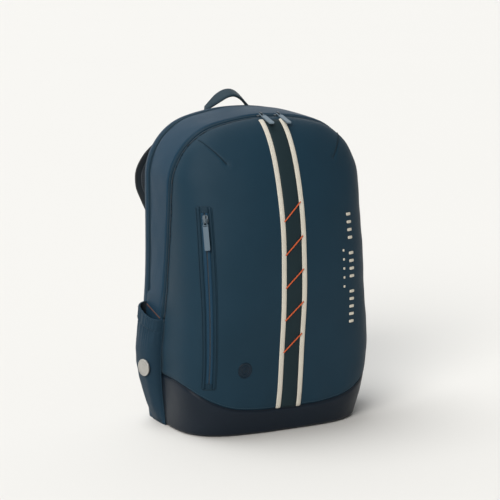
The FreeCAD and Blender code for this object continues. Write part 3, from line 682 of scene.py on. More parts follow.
def make_stage():
    turn, tilt = CAMERA_TURN, CAMERA_TILT
    forward = Vector((math.sin(turn) * math.cos(tilt), math.cos(turn) * math.cos(tilt),
                      -math.sin(tilt)))
    right = Vector((math.cos(turn), -math.sin(turn), 0))
    place = -forward * CAMERA_DISTANCE - right * 0.016
    place.z = CAMERA_HEIGHT
    camera = bpy.data.objects.new("camera", bpy.data.cameras.new("camera"))
    camera.data.lens = CAMERA_LENS
    camera.data.sensor_width = 36.0
    camera.location = place
    camera.rotation_mode = "QUATERNION"
    camera.rotation_quaternion = forward.to_track_quat("-Z", "Y")
    bpy.context.scene.collection.objects.link(camera)
    bpy.context.scene.camera = camera

    floor = new_object("floor", [(x * FLOOR_HALF, y * FLOOR_HALF, 0)
                                   for x, y in ((-1, -1), (1, -1), (1, 1), (-1, 1))],
                       [(0, 1, 2, 3)])
    paint = Paint("floor_paint", (0.712, 0.698, 0.668), 0.9)
    paint.tint(paint.noise(0.6, 2.0), 0.995, 1.005)
    floor.data.materials.append(paint.material)

    world = bpy.data.worlds.new("studio")
    world.use_nodes = True
    nodes, links = world.node_tree.nodes, world.node_tree.links
    sky = nodes["Background"]
    sky.inputs["Color"].default_value = (0.97, 0.985, 1.0, 1)
    place = nodes.new("ShaderNodeTexCoord")
    axes = nodes.new("ShaderNodeSeparateXYZ")
    fade = nodes.new("ShaderNodeMapRange")
    fade.inputs["From Min"].default_value = 0.0
    fade.inputs["To Min"].default_value = 0.17
    fade.inputs["To Max"].default_value = 1.25
    links.new(place.outputs["Generated"], axes.inputs["Vector"])
    links.new(axes.outputs["Y"], fade.inputs["Value"])
    links.new(fade.outputs["Result"], sky.inputs["Strength"])
    bpy.context.scene.world = world
    sun("key", (-0.74, -0.70, 0.60), 2.5, 30, (1.0, 0.985, 0.965))
    sun("top", (-0.25, 0.20, 1.0), 1.75, 40, (0.97, 0.985, 1.0))
    bpy.context.scene.view_settings.view_transform = "Standard"


def sun(name, direction, strength, spread, colour):
    lamp = bpy.data.lights.new(name, "SUN")
    lamp.energy = strength
    lamp.angle = math.radians(spread)
    lamp.color = colour
    obj = bpy.data.objects.new(name, lamp)
    obj.rotation_mode = "QUATERNION"
    obj.rotation_quaternion = Vector(direction).to_track_quat("Z", "Y")
    bpy.context.scene.collection.objects.link(obj)


# ---- front ------------------------------------------------------------------------------

def front_rows(bottom, top_z, rows, columns):
    """Points of the front between two heights; bottom is a function of x."""
    turn = np.linspace(0, math.pi, columns)
    result = []
    for share in np.linspace(0, 1, rows):
        z = np.full(columns, float(top_z * math.sin(share * math.pi / 2)))
        for _ in range(4):
            power = fullness(z)
            x = half_width(z) * np.sign(np.cos(turn)) * np.abs(np.cos(turn)) ** (2 / power)
            z = bottom(x) + (top_z - bottom(x)) * math.sin(share * math.pi / 2)
        power = fullness(z)
        width = half_width(z)
        x = width * np.sign(np.cos(turn)) * np.abs(np.cos(turn)) ** (2 / power)
        y = zip_y(z) - dome_depth(z) * np.abs(np.sin(turn)) ** (2 / power)
        result.append(np.stack([x, y, z], -1))
    return np.array(result)


def pushed(rows, amount):
    """Moves a grid of points out along its own normals."""
    along = np.gradient(rows, axis=1)
    across = np.gradient(rows, axis=0)
    normal = np.cross(across, along)
    size = np.linalg.norm(normal, axis=-1, keepdims=True)
    normal = normal / np.maximum(size, 1e-12)
    return rows + normal * amount[..., None]


def make_front():
    rows = front_rows(lambda x: seam_z(x) + 0.0004, FRONT_HEIGHT - 0.0001, 250, 260)
    fade = np.clip((FRONT_HEIGHT - 0.002 - rows[..., 2]) / 0.02, 0, 1)
    relief = front_relief(rows[..., 0], rows[..., 2]) * fade
    rows = pushed(rows, relief)
    edges = [rows]
    for depth, inset in ((0.0012, 0.0), (GUARD - 0.0006, 0.0), (GUARD, 0.0006)):
        open_part = smooth_step(rows[:, :1, 2], OPENING_Z - 0.002, OPENING_Z + 0.006)
        for column in (0, -1):
            edge = rows[:, column].copy()
            edge[:, 1] += depth * open_part[:, 0]
            edge[:, 2] += LEAN * depth * open_part[:, 0]
            edge[:, 0] -= np.sign(edge[:, 0]) * inset
            edges.insert(0 if column == 0 else len(edges), edge[:, None])
    rows = np.concatenate(edges, axis=1)
    cover = grid("front_cover", rows, flip=True)
    weld(cover)
    dress(cover, FRONT_CLOTH)
    thicken(cover, 0.0024, LINING)
    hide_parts("front_panel", "front_lower_panel")
    on_front(cover)


def make_base():
    """Leather base: front, rounded foot and the flat underside."""
    turn = np.linspace(0, math.pi, 200)
    result = []
    heights = [(0.0, 0.0065), (0.0007, 0.0032), (0.002, 0.0014), (0.004, 0.0004)]
    for z0, inset in heights:
        z = np.full(200, z0)
        power = fullness(z)
        x = (half_width(z) - inset) * np.sign(np.cos(turn)) * np.abs(np.cos(turn)) ** (2 / power)
        y = zip_y(z) - (dome_depth(z) - inset) * np.abs(np.sin(turn)) ** (2 / power)
        result.append(np.stack([x, y, z], -1))
    for share in np.linspace(0, 1, 36)[1:]:
        z = np.full(200, 0.004)
        for _ in range(4):
            power = fullness(z)
            x = half_width(z) * np.sign(np.cos(turn)) * np.abs(np.cos(turn)) ** (2 / power)
            z = 0.004 + (seam_z(x) - 0.0046) * share
        power = fullness(z)
        x = half_width(z) * np.sign(np.cos(turn)) * np.abs(np.cos(turn)) ** (2 / power)
        y = zip_y(z) - dome_depth(z) * np.abs(np.sin(turn)) ** (2 / power)
        result.append(np.stack([x, y, z], -1))
    rows = np.array(result)
    seam_gap = seam_z(rows[..., 0]) - rows[..., 2]
    relief = -0.0016 * np.exp(-(seam_gap / 0.003) ** 2) + 0.0006 * noise3(rows, 0.03, 2.0)
    relief *= np.clip(rows[..., 2] / 0.004, 0, 1)
    rows = pushed(rows, relief)
    base = grid("base_cover", rows, flip=True)
    dress(base, BASE_LEATHER)
    thicken(base, 0.0022, LINING)
    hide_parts("front_base_panel")
    on_body(base)
    make_underside()
    piping()


def piping():
    """Rolled seam between the base and the front, with a row of stitches above it."""
    x = half_width(0.08) * np.sin(np.linspace(-math.pi / 2, math.pi / 2, 260)) * 0.999
    z = seam_z(x)
    x = np.clip(x, -half_width(z) * 0.9995, half_width(z) * 0.9995)
    line, normal = front_point(x, z, 0.0002)
    cord = sweep("base_seam_roll", line, normal, 0.0016, 0.0018, 2.0, 8)
    dress(cord, BASE_LEATHER)
    on_body(cord)
    line, normal = front_point(x[6:-6], z[6:-6] + 0.0036, 0.00025)
    stitches = thread("base_seam_stitches", [line], [normal], 0.0034, 0.35, 0.00028)
    dress(stitches, PALE_THREAD)
    on_front(stitches)


def make_underside():
    """The flat leather bottom, from the front's foot to the back panel."""
    turn = np.linspace(0, math.pi, 90)
    power = fullness(0.0)
    front_x = (half_width(0.0) - 0.0062) * np.sign(np.cos(turn)) * np.abs(np.cos(turn)) ** (2 / power)
    front = zip_y(0.0) - (dome_depth(0.0) - 0.0062) * np.abs(np.sin(turn)) ** (2 / power)
    half = side_width(0.0) - 0.004
    rear = [(-half, REAR_BAND_Y + BAND), (-half * 0.96, 0.094), (-half * 0.90, 0.1015),
            (half * 0.90, 0.1015), (half * 0.96, 0.094), (half, REAR_BAND_Y + BAND)]
    ring = list(zip(front_x, front)) + rear
    ring = np.array([(x, y, 0.0) for x, y in ring])
    centre = np.array([0, 0.01, 0.0])
    rows = []
    for share, lift in ((1.0, 0.0024), (0.995, 0.0006), (0.985, 0.0), (0.7, 0.0), (0.4, 0.0002),
                        (0.1, 0.0003)):
        rows.append(centre + (ring - centre) * share + np.array([0, 0, lift]))
    bottom = grid("bottom_cover", rows, closed=True)
    shape = bmesh.new()
    shape.from_mesh(bottom.data)
    shape.verts.ensure_lookup_table()
    last = len(shape.verts) - len(ring)
    shape.faces.new([shape.verts[last + i] for i in range(len(ring))])
    bmesh.ops.recalc_face_normals(shape, faces=shape.faces)
    shape.to_mesh(bottom.data)
    shape.free()
    dress(bottom, BASE_LEATHER)
    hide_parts("bottom_panel", "base_board")
    on_body(bottom)


def front_strip(name, x0, x1, z0, z1, out, thick, crown=0.0, columns=10, pitch=0.003):
    """A closed strip lying on the front, from z0 to z1; its edges are rounded."""
    count = int((z1 - z0) / pitch) + 2
    share = np.linspace(0, 1, columns)
    profile_out = thick * np.clip(np.sin(share * math.pi), 0, 1) ** 0.35 + crown * np.sin(share * math.pi)
    rows = []
    for z in np.linspace(z0, z1, count):
        x = x0 + (x1 - x0) * share
        upper, _ = front_point(x, np.full(columns, z), out + profile_out)
        lower, _ = front_point(x[::-1], np.full(columns, z), out - 0.0002)
        rows.append(np.vstack([upper, lower]))
    strip = grid(name, rows, closed=True)
    cap_ends(strip, count, 2 * columns)
    return strip


def make_stripes():
    top = STRIPE_TOP
    for side, x in (("left", -STRIPE_X), ("right", STRIPE_X)):
        low = seam_z(x) + 0.0006
        band = front_strip("webbing_" + side, x - WEBBING_W / 2, x + WEBBING_W / 2, low, top,
                           0.0002, 0.0013, 0.0002, 12, 0.0025)
        dress(band, CREAM)
        if side == "left":
            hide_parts("front_webbings_upper", "front_webbings_lower")
        on_front(band)
        z = np.linspace(low + 0.001, top - 0.001, 200)
        lines, normals = [], []
        for edge in (-1, 1):
            line, normal = front_point(np.full(200, x + edge * (WEBBING_W / 2 - 0.0012)), z, 0.0016)
            lines.append(line)
            normals.append(normal)
        stitches = thread("webbing_stitches_" + side, lines, normals, 0.0030, 0.4, 0.00024)
        dress(stitches, CREAM)
        on_front(stitches)
    edge = STRIPE_X - WEBBING_W / 2 - 0.0001
    panel = front_strip("stripe_panel", -edge, edge, seam_z(0.0) + 0.0006, top - 0.0004,
                        0.0002, 0.0007, 0.0003, 12, 0.003)
    dress(panel, STRIPE_CLOTH)
    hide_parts("stripe_upper", "stripe_lower")
    on_front(panel)


def make_cross_stitches():
    """Five slanted bars of thick twisted thread across the stripe."""
    reach = STRIPE_X - WEBBING_W / 2 + 0.0026
    bars = []
    for number in range(5):
        top = 0.3465 - 0.0487 * number + 0.0018
        x = np.linspace(-reach, reach, 26)
        z = top - 0.0285 + 0.0285 * (x + reach) / (2 * reach)
        out = np.where(np.abs(x) > reach - 0.0035, 0.0021, 0.0019)
        out = out - 0.0022 * np.clip((np.abs(x) - reach + 0.0012) / 0.0012, 0, 1)
        line, normal = front_point(x, z, out)
        for strand in range(3):
            phase = strand * 2 * math.pi / 3 + np.linspace(0, 16, 26)
            run = np.gradient(line, axis=0)
            run /= np.linalg.norm(run, axis=1, keepdims=True)
            side = np.cross(run, normal)
            path = line + 0.00052 * (np.cos(phase)[:, None] * side + np.sin(phase)[:, None] * normal)
            bars.append(sweep(f"cross_stitch_{number}_{strand}", path, normal, 0.00105, 0.00105,
                              2.0, 8))
    bar = joined(bars, "cross_stitches")
    dress(bar, ORANGE)
    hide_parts("cross_stitches_upper", "cross_stitch_lower")
    on_front(bar)


def joined(objects, name):
    """One mesh made of several."""
    points, faces, uvs = [], [], []
    for obj in objects:
        start = len(points)
        points += [tuple(v.co) for v in obj.data.vertices]
        flat = {}
        layer = obj.data.uv_layers[0].data if obj.data.uv_layers else None
        for polygon in obj.data.polygons:
            faces.append([start + i for i in polygon.vertices])
            for loop in polygon.loop_indices:
                flat[obj.data.loops[loop].vertex_index] = layer[loop].uv[:] if layer else (0, 0)
        uvs += [flat.get(i, (0, 0)) for i in range(len(obj.data.vertices))]
        bpy.data.objects.remove(obj)
    return new_object(name, points, faces, uvs)


def make_print():
    """A plain column of short cream dashes, with a finer one beside it."""
    marks = []
    for number, z in enumerate(np.arange(0.322, 0.160, -0.0115)):
        if number in (4, 9):
            continue
        marks.append(flat_mark(f"mark_{number}", 0.103, z, 0.0045, 0.0021))
    for number, z in enumerate(np.arange(0.270, 0.214, -0.0135)):
        marks.append(flat_mark(f"dot_{number}", 0.0875, z, 0.0015, 0.0017))
    cream = joined(marks, "print_marks")
    dress(cream, PRINT)
    on_front(cream)


def flat_mark(name, x, z, half_x, half_z):
    turn = np.linspace(0, 2 * math.pi, 28, endpoint=False)
    px = np.sign(np.cos(turn)) * np.abs(np.cos(turn)) ** 0.35
    pz = np.sign(np.sin(turn)) * np.abs(np.sin(turn)) ** 0.35
    rows = []
    for share, out in ((1.0, 0.0001), (0.99, 0.0007), (0.9, 0.0008), (0.45, 0.0008), (0.02, 0.0008)):
        ring, _ = front_point(x + half_x * share * px, z + half_z * share * pz, np.full(28, out))
        rows.append(ring)
    return grid(name, rows, closed=True)


# ---- body -------------------------------------------------------------------------------

MIDDLE = (0.0, 0.03, 0.22)


def make_gusset():
    """The strip between the two zips, round the sides and the top."""
    lines = [outline(w) for w in (front_station(0.0), front_station(BAND),
                                  rear_station(REAR_BAND_Y), rear_station(REAR_BAND_Y + BAND))]
    heights = lines[1][:, 2]
    guard = GUARD / BAND
    first = smooth_step(heights, OPENING_Z - 0.002, OPENING_Z + 0.006) * (1 - guard)
    last = 3 - smooth_step(heights, REAR_ZIP_Z - 0.002, REAR_ZIP_Z + 0.006) * (1 - guard)
    rows = []
    for share in np.linspace(0, 1, 40):
        place = between(first, last, share)
        row = np.zeros_like(lines[0])
        for k in range(3):
            part = np.clip(place - k, 0, 1)[:, None]
            inside = ((place >= k) & ((place < k + 1) | (k == 2)))[:, None]
            row += np.where(inside, between(lines[k], lines[k + 1], part), 0)
        rows.append(row)
    rows = np.array(rows)
    share = np.linspace(0, 1, 40)[:, None]
    width = np.linalg.norm(rows[-1] - rows[0], axis=1)[None]
    edge = np.minimum(share, 1 - share) * width
    lift = 0.0014 * np.sin(share * math.pi) ** 0.7 - 0.0010 * np.exp(-((edge - 0.0042) / 0.0014) ** 2)
    lift = lift + 0.0008 * noise3(rows, 0.05, 5.0) * np.clip(edge / 0.01, 0, 1)
    ripple = np.exp(-((edge - 0.012) / 0.012) ** 2) * np.sin(rows[..., 2] / 0.0115 + rows[..., 0] / 0.013)
    lift = lift + 0.00035 * ripple
    out = np.stack([outward(line) for line in lines]).mean(0)[None]
    rows = rows + out * lift[..., None]
    cover = face_from(grid("gusset_cover", rows), MIDDLE)
    dress(cover, GUSSET_CLOTH)
    thicken(cover, 0.0024, LINING)
    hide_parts("side_panel_left", "side_panel_right", "top_panel")
    on_body(cover)


RIDGE_SHARE = (0.0, 0.12, 0.35, 0.65, 0.88, 1.0)
RIDGE_INSET = (0.0017, 0.0010, 0.0001, 0.0002, 0.0011, 0.0026)


def zip_flap(name, edge, centre, low):
    """One folded side of a zip: a soft ridge from the panel's seam to the zip's middle."""
    higher = outline(edge)[:, 2] > low
    rows = []
    for share in np.linspace(0, 1, 11):
        inset = float(np.interp(share, RIDGE_SHARE, RIDGE_INSET))
        rows.append(outline(between(edge, centre, share), inset)[higher])
    flap = face_from(grid(name, rows), MIDDLE)
    dress(flap, WELT_CLOTH)
    return thicken(flap, 0.0009, TAPE)


def coil(name, where, inset, low, width, pitch=0.0022):
    """A row of a zip's teeth: a rounded ridge that swells at each tooth."""
    line = resampled(above(outline(where, inset), low), pitch / 6)
    phase = np.arange(len(line)) * 2 * math.pi / 6
    thick = 0.00155 * (0.62 + 0.38 * np.cos(phase))
    side = np.array([0, 1, where[1]])
    ridge = sweep(name, line, side, width * (0.86 + 0.14 * np.cos(phase)), thick, 2.6, 8)
    dress(ridge, COIL)
    return ridge


def make_front_zip():
    middle = front_station(ZIP_MIDDLE)
    low = OPENING_Z + 0.0004
    gap = 0.0007
    fixed = zip_flap("front_zip_tape_fixed", front_station(BAND - 0.0002),
                     front_station(ZIP_MIDDLE + gap), low)
    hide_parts("front_zip_tape_body")
    on_body(fixed)
    moving = zip_flap("front_zip_tape_moving", front_station(0.0002),
                      front_station(ZIP_MIDDLE - gap), low)
    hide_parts("front_zip_tape_flap")
    on_front(moving)
    offset = station(0.0014, 0, 0, 0)
    body_coil = coil("front_zip_teeth_fixed", middle + offset, COIL_SINK, low, 0.0025)
    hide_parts("front_zip_coil_body")
    on_body(body_coil)
    flap_coil = coil("front_zip_teeth_moving", middle - offset, COIL_SINK, low, 0.0025)
    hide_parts("front_zip_coil_flap")
    on_front(flap_coil)


def make_rear_zip():
    middle = REAR_BAND_Y + ZIP_MIDDLE
    gap = 0.0014
    flaps = [zip_flap("rear_flap_a", rear_station(REAR_BAND_Y + 0.0002),
                      rear_station(middle - gap), REAR_ZIP_Z),
             zip_flap("rear_flap_b", rear_station(REAR_BAND_Y + BAND - 0.0002),
                      rear_station(middle + gap), REAR_ZIP_Z)]
    tape = joined(flaps, "rear_zip_tape")
    dress(tape, WELT_CLOTH)
    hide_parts("rear_zip_tapes")
    on_body(tape)
    teeth = [coil(f"rear_zip_teeth_{k}", rear_station(middle + shift), COIL_SINK, REAR_ZIP_Z, 0.0025)
             for k, shift in enumerate((-0.0014, 0.0014))]
    both = joined(teeth, "rear_zip_teeth")
    dress(both, COIL)
    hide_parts("rear_zip_coil")
    on_body(both)


def make_zip_stitches():
    """Fine rows of stitches beside both zips."""
    rows = {"front_edge_stitches": (front_station(-0.0024), 0.0001, OPENING_Z + 0.004, True),
            "gusset_front_stitches": (front_station(BAND + 0.0016), -0.0007, OPENING_Z + 0.004, False),
            "gusset_rear_stitches": (rear_station(REAR_BAND_Y - 0.0016), -0.0007,
                                     REAR_ZIP_Z + 0.004, False),
            "boxing_stitches": (rear_station(REAR_BAND_Y + BAND + 0.0018), -0.0005,
                                REAR_ZIP_Z + 0.004, False)}
    for name, (where, inset, low, moving) in rows.items():
        line = above(outline(where, inset, 260), low)
        stitches = thread(name, [line], [outward(line)], 0.0034, 0.35, 0.00026)
        dress(stitches, NAVY_THREAD)
        if moving:
            on_front(stitches)
        else:
            on_body(stitches)


def make_corner_seams():
    """The seam from the end of the front zip down to the ground, on both sides."""
    z = np.linspace(0.0035, OPENING_Z + 0.001, 90)
    cords = []
    for sign in (-1, 1):
        line = np.stack([sign * (side_width(z) + 0.0002), zip_y(z) + 0.0004, z], -1)
        cords.append(sweep(f"corner_{sign}", line, (0, 1, 0), 0.0026, 0.0022, 2.0, 10))
    seam = joined(cords, "corner_seams")
    dress(seam, WELT_CLOTH)
    on_body(seam)


def make_back():
    """Boxing behind the rear zip, the flat back panel and the binding round it."""
    guard = REAR_BAND_Y + BAND - GUARD
    rows = []
    first = outline(rear_station(guard))
    start = outline(rear_station(REAR_BAND_Y + BAND))
    open_part = smooth_step(start[:, 2:], REAR_ZIP_Z - 0.002, REAR_ZIP_Z + 0.006)
    rows.append(between(start, first, open_part))
    for y in (0.0785, 0.082, 0.086, 0.090, 0.094, 0.098, 0.101, 0.1028):
        bulge = 0.0010 * math.sin((y - 0.078) / 0.026 * math.pi)
        rows.append(outline(rear_station(y), -bulge))
    rows.append(outline(rear_station(0.1036), 0.0008))
    boxing = face_from(grid("boxing_cover", rows), MIDDLE)
    dress(boxing, GUSSET_CLOTH)
    thicken(boxing, 0.0024, LINING)
    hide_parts("rear_boxing")
    on_body(boxing)

    edge = outline(rear_station(BACK_Y), 0.001)
    centre = np.array([0.0, BACK_Y, 0.004])
    panel_rows = [between(edge, centre, share) for share in np.linspace(0, 0.995, 60)]
    panel_rows = np.array(panel_rows)
    panel_rows[..., 2] = np.maximum(panel_rows[..., 2], 0.0035)
    panel_rows[..., 1] = BACK_Y - 0.0004
    panel_rows[..., 1] += 0.0005 * noise3(panel_rows, 0.05, 3.0) - 0.0004
    panel = face_from(grid("back_cover", panel_rows), MIDDLE)
    weld(panel)
    dress(panel, BACK_CLOTH)
    thicken(panel, 0.0040, LINING)
    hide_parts("back_panel")
    on_body(panel)

    roll = above(outline(rear_station(0.1034), 0.0010), 0.004)
    binding = sweep("back_binding", roll, (0, 1, 0), 0.0044, 0.0040, 2.6, 12)
    dress(binding, BLACK_WEB)
    on_body(binding)


def make_divider():
    """Padded wall between the main and the rear compartment."""
    edge = outline(rear_station(REAR_BAND_Y - 0.0022), 0.0042)
    edge[:, 2] = np.minimum(edge[:, 2], 0.440)
    centre = np.array([0.0, REAR_BAND_Y - 0.0022, 0.004])
    rows = np.array([between(edge, centre, share) for share in np.linspace(0, 0.995, 50)])
    rows[..., 1] += 0.0006 * np.sin(rows[..., 0] / 0.012) * np.sin(rows[..., 2] / 0.012)
    rows[..., 2] = np.maximum(rows[..., 2], 0.004)
    wall = weld(grid("divider_cover", rows))
    dress(wall, LINING)
    thicken(wall, 0.0030, offset=0.0)
    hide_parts("compartment_divider")
    on_body(wall)


# ---- side pockets -----------------------------------------------------------------------

def pocket_bulge(z):
    return np.interp(z, (0, 0.012, 0.030, 0.070, 0.115, 0.160, 0.220),
                     (0.0008, 0.0065, 0.0115, 0.0185, 0.0215, 0.0190, 0.0185))


def side_pocket(turn, z, out=0.0):
    """Point on the left pocket: turn goes from 0 at its front seam to pi at its rear one."""
    front = zip_y(z) + 0.0025
    centre = (SIDE_POCKET_REAR + front) / 2
    half = (SIDE_POCKET_REAR - front) / 2 + out
    c, s = np.cos(turn), np.sin(turn)
    y = centre - half * np.sign(c) * np.abs(c) ** 0.8
    x = POCKET_ROOT - side_width(z) - (pocket_bulge(z) + out + POCKET_ROOT) * np.abs(s) ** 0.6
    return np.stack([x, y, z], -1)


def mouth_z(y):
    return SIDE_POCKET_TOP + (y - SIDE_POCKET_REAR + 0.012) * MOUTH_SLOPE


def pocket_rows(sign, low, high, out, count, relief):
    """Rows up a side pocket; low and high are distances under its slanted mouth, or None."""
    turn = np.linspace(0, math.pi, 110)
    rows = []
    for share in np.linspace(0, 1, count):
        z = np.full(110, 0.1)
        for _ in range(5):
            y = side_pocket(turn, z)[:, 1]
            bottom = np.full(110, 0.0035) if low is None else mouth_z(y) - low
            z = between(bottom, mouth_z(y) - high, share)
        row = side_pocket(turn, z, 0.0)
        row[:, 0] -= (out + relief(turn, z, mouth_z(row[:, 1]) - z)) * np.sin(turn) ** 0.5
        row[:, 0] *= -sign
        rows.append(row)
    return rows


def make_side_pocket(side, sign):
    def soft(turn, z, under):
        gather = np.exp(-((under - HEM_H) / 0.020) ** 2) * np.sin(turn * 26 + 3 * np.sin(turn * 5))
        slack = noise3(np.stack([turn * 0.05, z, 0 * z], -1), 0.022, 7.0 + sign)
        fold = np.exp(-((z - 0.055 - 0.018 * turn) / 0.006) ** 2)
        fold -= 0.7 * np.exp(-((z - 0.026 + 0.010 * turn) / 0.005) ** 2)
        return 0.0007 * gather + 0.0011 * slack + 0.0009 * fold

    def ruched(turn, z, under):
        edge = np.clip(np.minimum(under, HEM_H - under) / 0.002, 0, 1)
        return 0.0005 * np.sin(turn * 34 + 2 * np.sin(turn * 6)) * edge + 0.0006 * edge - 0.0006

    body = weld(grid("side_pocket_cover_" + side, pocket_rows(sign, None, HEM_H - 0.002, 0.0, 60, soft)))
    face_from(body, (0, 0.04, 0.1))
    dress(body, POCKET_CLOTH)
    thicken(body, 0.0016, LINING)
    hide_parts("side_pocket_" + side)
    on_body(body)

    hem = weld(grid("side_pocket_hem_" + side, pocket_rows(sign, HEM_H, 0.0, 0.0013, 14, ruched)))
    face_from(hem, (0, 0.04, 0.18))
    dress(hem, POCKET_CLOTH)
    thicken(hem, 0.0030, LINING)
    rounded(hem)
    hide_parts("pocket_hem_" + side)
    on_body(hem)

    lines, normals = [], []
    for under in (0.0022, HEM_H - 0.0025):
        turn = np.linspace(0.25, math.pi - 0.25, 120)
        z = np.full(120, 0.17)
        for _ in range(5):
            z = mouth_z(side_pocket(turn, z)[:, 1]) - under
        line = side_pocket(turn, z)
        line[:, 0] -= 0.0020 * np.sin(turn) ** 0.5
        line[:, 0] *= -sign
        lines.append(line)
        out = np.cross(np.gradient(line, axis=0), (0, 0, 1))
        out /= np.linalg.norm(out, axis=1, keepdims=True)
        normals.append(out if out[60, 0] * sign > 0 else -out)
    stitches = thread("pocket_hem_stitches_" + side, lines, normals, 0.0034, 0.35, 0.00028)
    dress(stitches, NAVY_THREAD)
    on_body(stitches)

    y = np.linspace(0.020, 0.070, 40)
    z = mouth_z(y) - 0.0015
    line = np.stack([sign * (side_width(z) + 0.0016), y, z], -1)
    trim = sweep("pocket_inner_trim_" + side, line, (0, 0, 1), 0.0022, 0.0016, 2.2, 8)
    dress(trim, BROWN_TRIM)
    on_body(trim)


def make_badge():
    """Round metal button: a rim, a shallow dish and a low dome inside a ring."""
    y, z = BADGE
    turn = np.linspace(0.3, math.pi - 0.3, 400)
    near = side_pocket(turn, np.full(400, z))
    k = int(np.argmin(np.abs(near[:, 1] - y)))
    place = near[k]
    run = near[k + 8] - near[k - 8]
    out = np.cross(run, (0, 0, 1))
    out /= np.linalg.norm(out)
    if out[0] > 0:
        out = -out
    right = np.cross((0, 0, 1), out)
    right /= np.linalg.norm(right)
    up = np.cross(out, right)
    profile = ((0.0129, 0.0012), (0.0130, 0.0030), (0.0127, 0.0036), (0.0118, 0.0037),
               (0.0112, 0.0032), (0.0096, 0.0030), (0.0092, 0.0034), (0.0086, 0.0034),
               (0.0082, 0.0030), (0.0052, 0.0031), (0.0044, 0.0035), (0.0022, 0.0037),
               (0.0002, 0.0037))
    ring = np.linspace(0, 2 * math.pi, 48, endpoint=False)
    rows = [place + out * height + radius * (np.outer(np.cos(ring), right) + np.outer(np.sin(ring), up))
            for radius, height in profile]
    button = face_from(grid("pocket_button", rows, closed=True), (0, 0.03, 0.09))
    rounded(button)
    dress(button, BADGE_METAL)
    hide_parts("pocket_badge")
    on_body(button)


# ---- front pocket and emblem ------------------------------------------------------------

def make_front_pocket():
    low, high = POCKET_LOW, POCKET_HIGH
    x = POCKET_X
    lips = [front_strip("lip_a", x - POCKET_HALF, x - POCKET_SLIT, low, high, 0.0002, 0.0009,
                        0.0005, 10, 0.003),
            front_strip("lip_b", x + POCKET_SLIT, x + POCKET_HALF, low, high, 0.0002, 0.0009,
                        0.0005, 10, 0.003),
            front_strip("end_a", x - POCKET_SLIT, x + POCKET_SLIT, low, low + 0.0085, 0.0002, 0.0010,
                        0.0001, 10, 0.001),
            front_strip("end_b", x - POCKET_SLIT, x + POCKET_SLIT, high - 0.0085, high, 0.0002, 0.0010,
                        0.0001, 10, 0.001)]
    welt = joined(lips, "pocket_welt_cover")
    dress(welt, WELT_CLOTH)
    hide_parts("pocket_welt_upper", "pocket_welt_lower")
    on_front(welt)

    halves = [front_strip("half_" + str(sign), *sorted((x + sign * 0.0002, x + sign * 0.0041)),
                          low + 0.0083, high - 0.0083, 0.0001, 0.0007, 0.0007, 10, 0.003)
              for sign in (-1, 1)]
    tape = joined(halves, "pocket_tape_cover")
    dress(tape, POCKET_TAPE)
    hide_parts("pocket_zip_tape_upper", "pocket_zip_tape_lower")
    on_front(tape)

    pitch = 0.0020
    count = int((high - low - 0.018) / pitch * 6)
    z = np.linspace(low + 0.009, high - 0.009, count)
    line, normal = front_point(np.full(count, x), z, 0.0003)
    across = np.cross(normal, np.gradient(line, axis=0))
    phase = np.arange(count) * 2 * math.pi / 6
    teeth = sweep("pocket_teeth", line, across, 0.0030, 0.0015 * (0.62 + 0.38 * np.cos(phase)), 2.6, 8)
    dress(teeth, COIL)
    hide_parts("pocket_zip_coil_upper", "pocket_zip_coil_lower")
    on_front(teeth)

    inset = 0.0012
    path = rounded_rectangle(x - POCKET_HALF + inset, x + POCKET_HALF - inset,
                             low + inset, high - inset, 0.003)
    line, normal = front_point(path[:, 0], path[:, 1], 0.00135)
    lines, normals = [line], [normal]
    for z0 in (low + 0.0035, low + 0.0062, high - 0.0035, high - 0.0062):
        across_x = np.linspace(x - POCKET_SLIT, x + POCKET_SLIT, 12)
        line, normal = front_point(across_x, np.full(12, z0), 0.0014)
        lines.append(line)
        normals.append(normal)
    stitches = thread("pocket_stitches", lines, normals, 0.0030, 0.35, 0.00026)
    dress(stitches, NAVY_THREAD)
    on_front(stitches)

    path = rounded_rectangle(x - POCKET_HALF - 0.0006, x + POCKET_HALF + 0.0006,
                             low - 0.0006, high + 0.0006, 0.004)
    line, normal = front_point(path[:, 0], path[:, 1], 0.0003)
    side = np.cross(normal, np.gradient(line, axis=0))
    frame_roll = sweep("pocket_frame_roll", line, side, 0.0018, 0.0014, 2.0, 8)
    dress(frame_roll, WELT_CLOTH)
    on_front(frame_roll)


def rounded_rectangle(x0, x1, z0, z1, radius):
    points = []
    corners = ((x1 - radius, z0 + radius, -90), (x1 - radius, z1 - radius, 0),
               (x0 + radius, z1 - radius, 90), (x0 + radius, z0 + radius, 180))
    for cx, cz, start in corners:
        for step in range(7):
            angle = math.radians(start + step * 15)
            points.append((cx + radius * math.cos(angle), 0.0, cz + radius * math.sin(angle)))
    points.append(points[0])
    return resampled(points, 0.0015)[:, [0, 2]]


def make_emblem():
    """Plain tonal disc with pressed rings."""
    profile = ((12.2, 0.0), (12.0, 0.6), (11.4, 0.9), (10.6, 0.9), (10.1, 0.4), (7.4, 0.35),
               (7.0, 0.8), (6.2, 0.8), (5.8, 0.4), (3.0, 0.4), (2.5, 0.75), (0.1, 0.8))
    turn = np.linspace(0, 2 * math.pi, 64, endpoint=False)
    rows = []
    for radius, height in profile:
        radius *= 0.001
        ring, _ = front_point(EMBLEM[0] + radius * np.cos(turn) * 0.9, EMBLEM[1] + radius * np.sin(turn),
                              height * 0.001)
        rows.append(ring)
    disc = grid("emblem_disc", rows, closed=True)
    face_from(disc, MIDDLE)
    dress(disc, PATCH_LEATHER)
    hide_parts("emblem")
    on_body(disc)


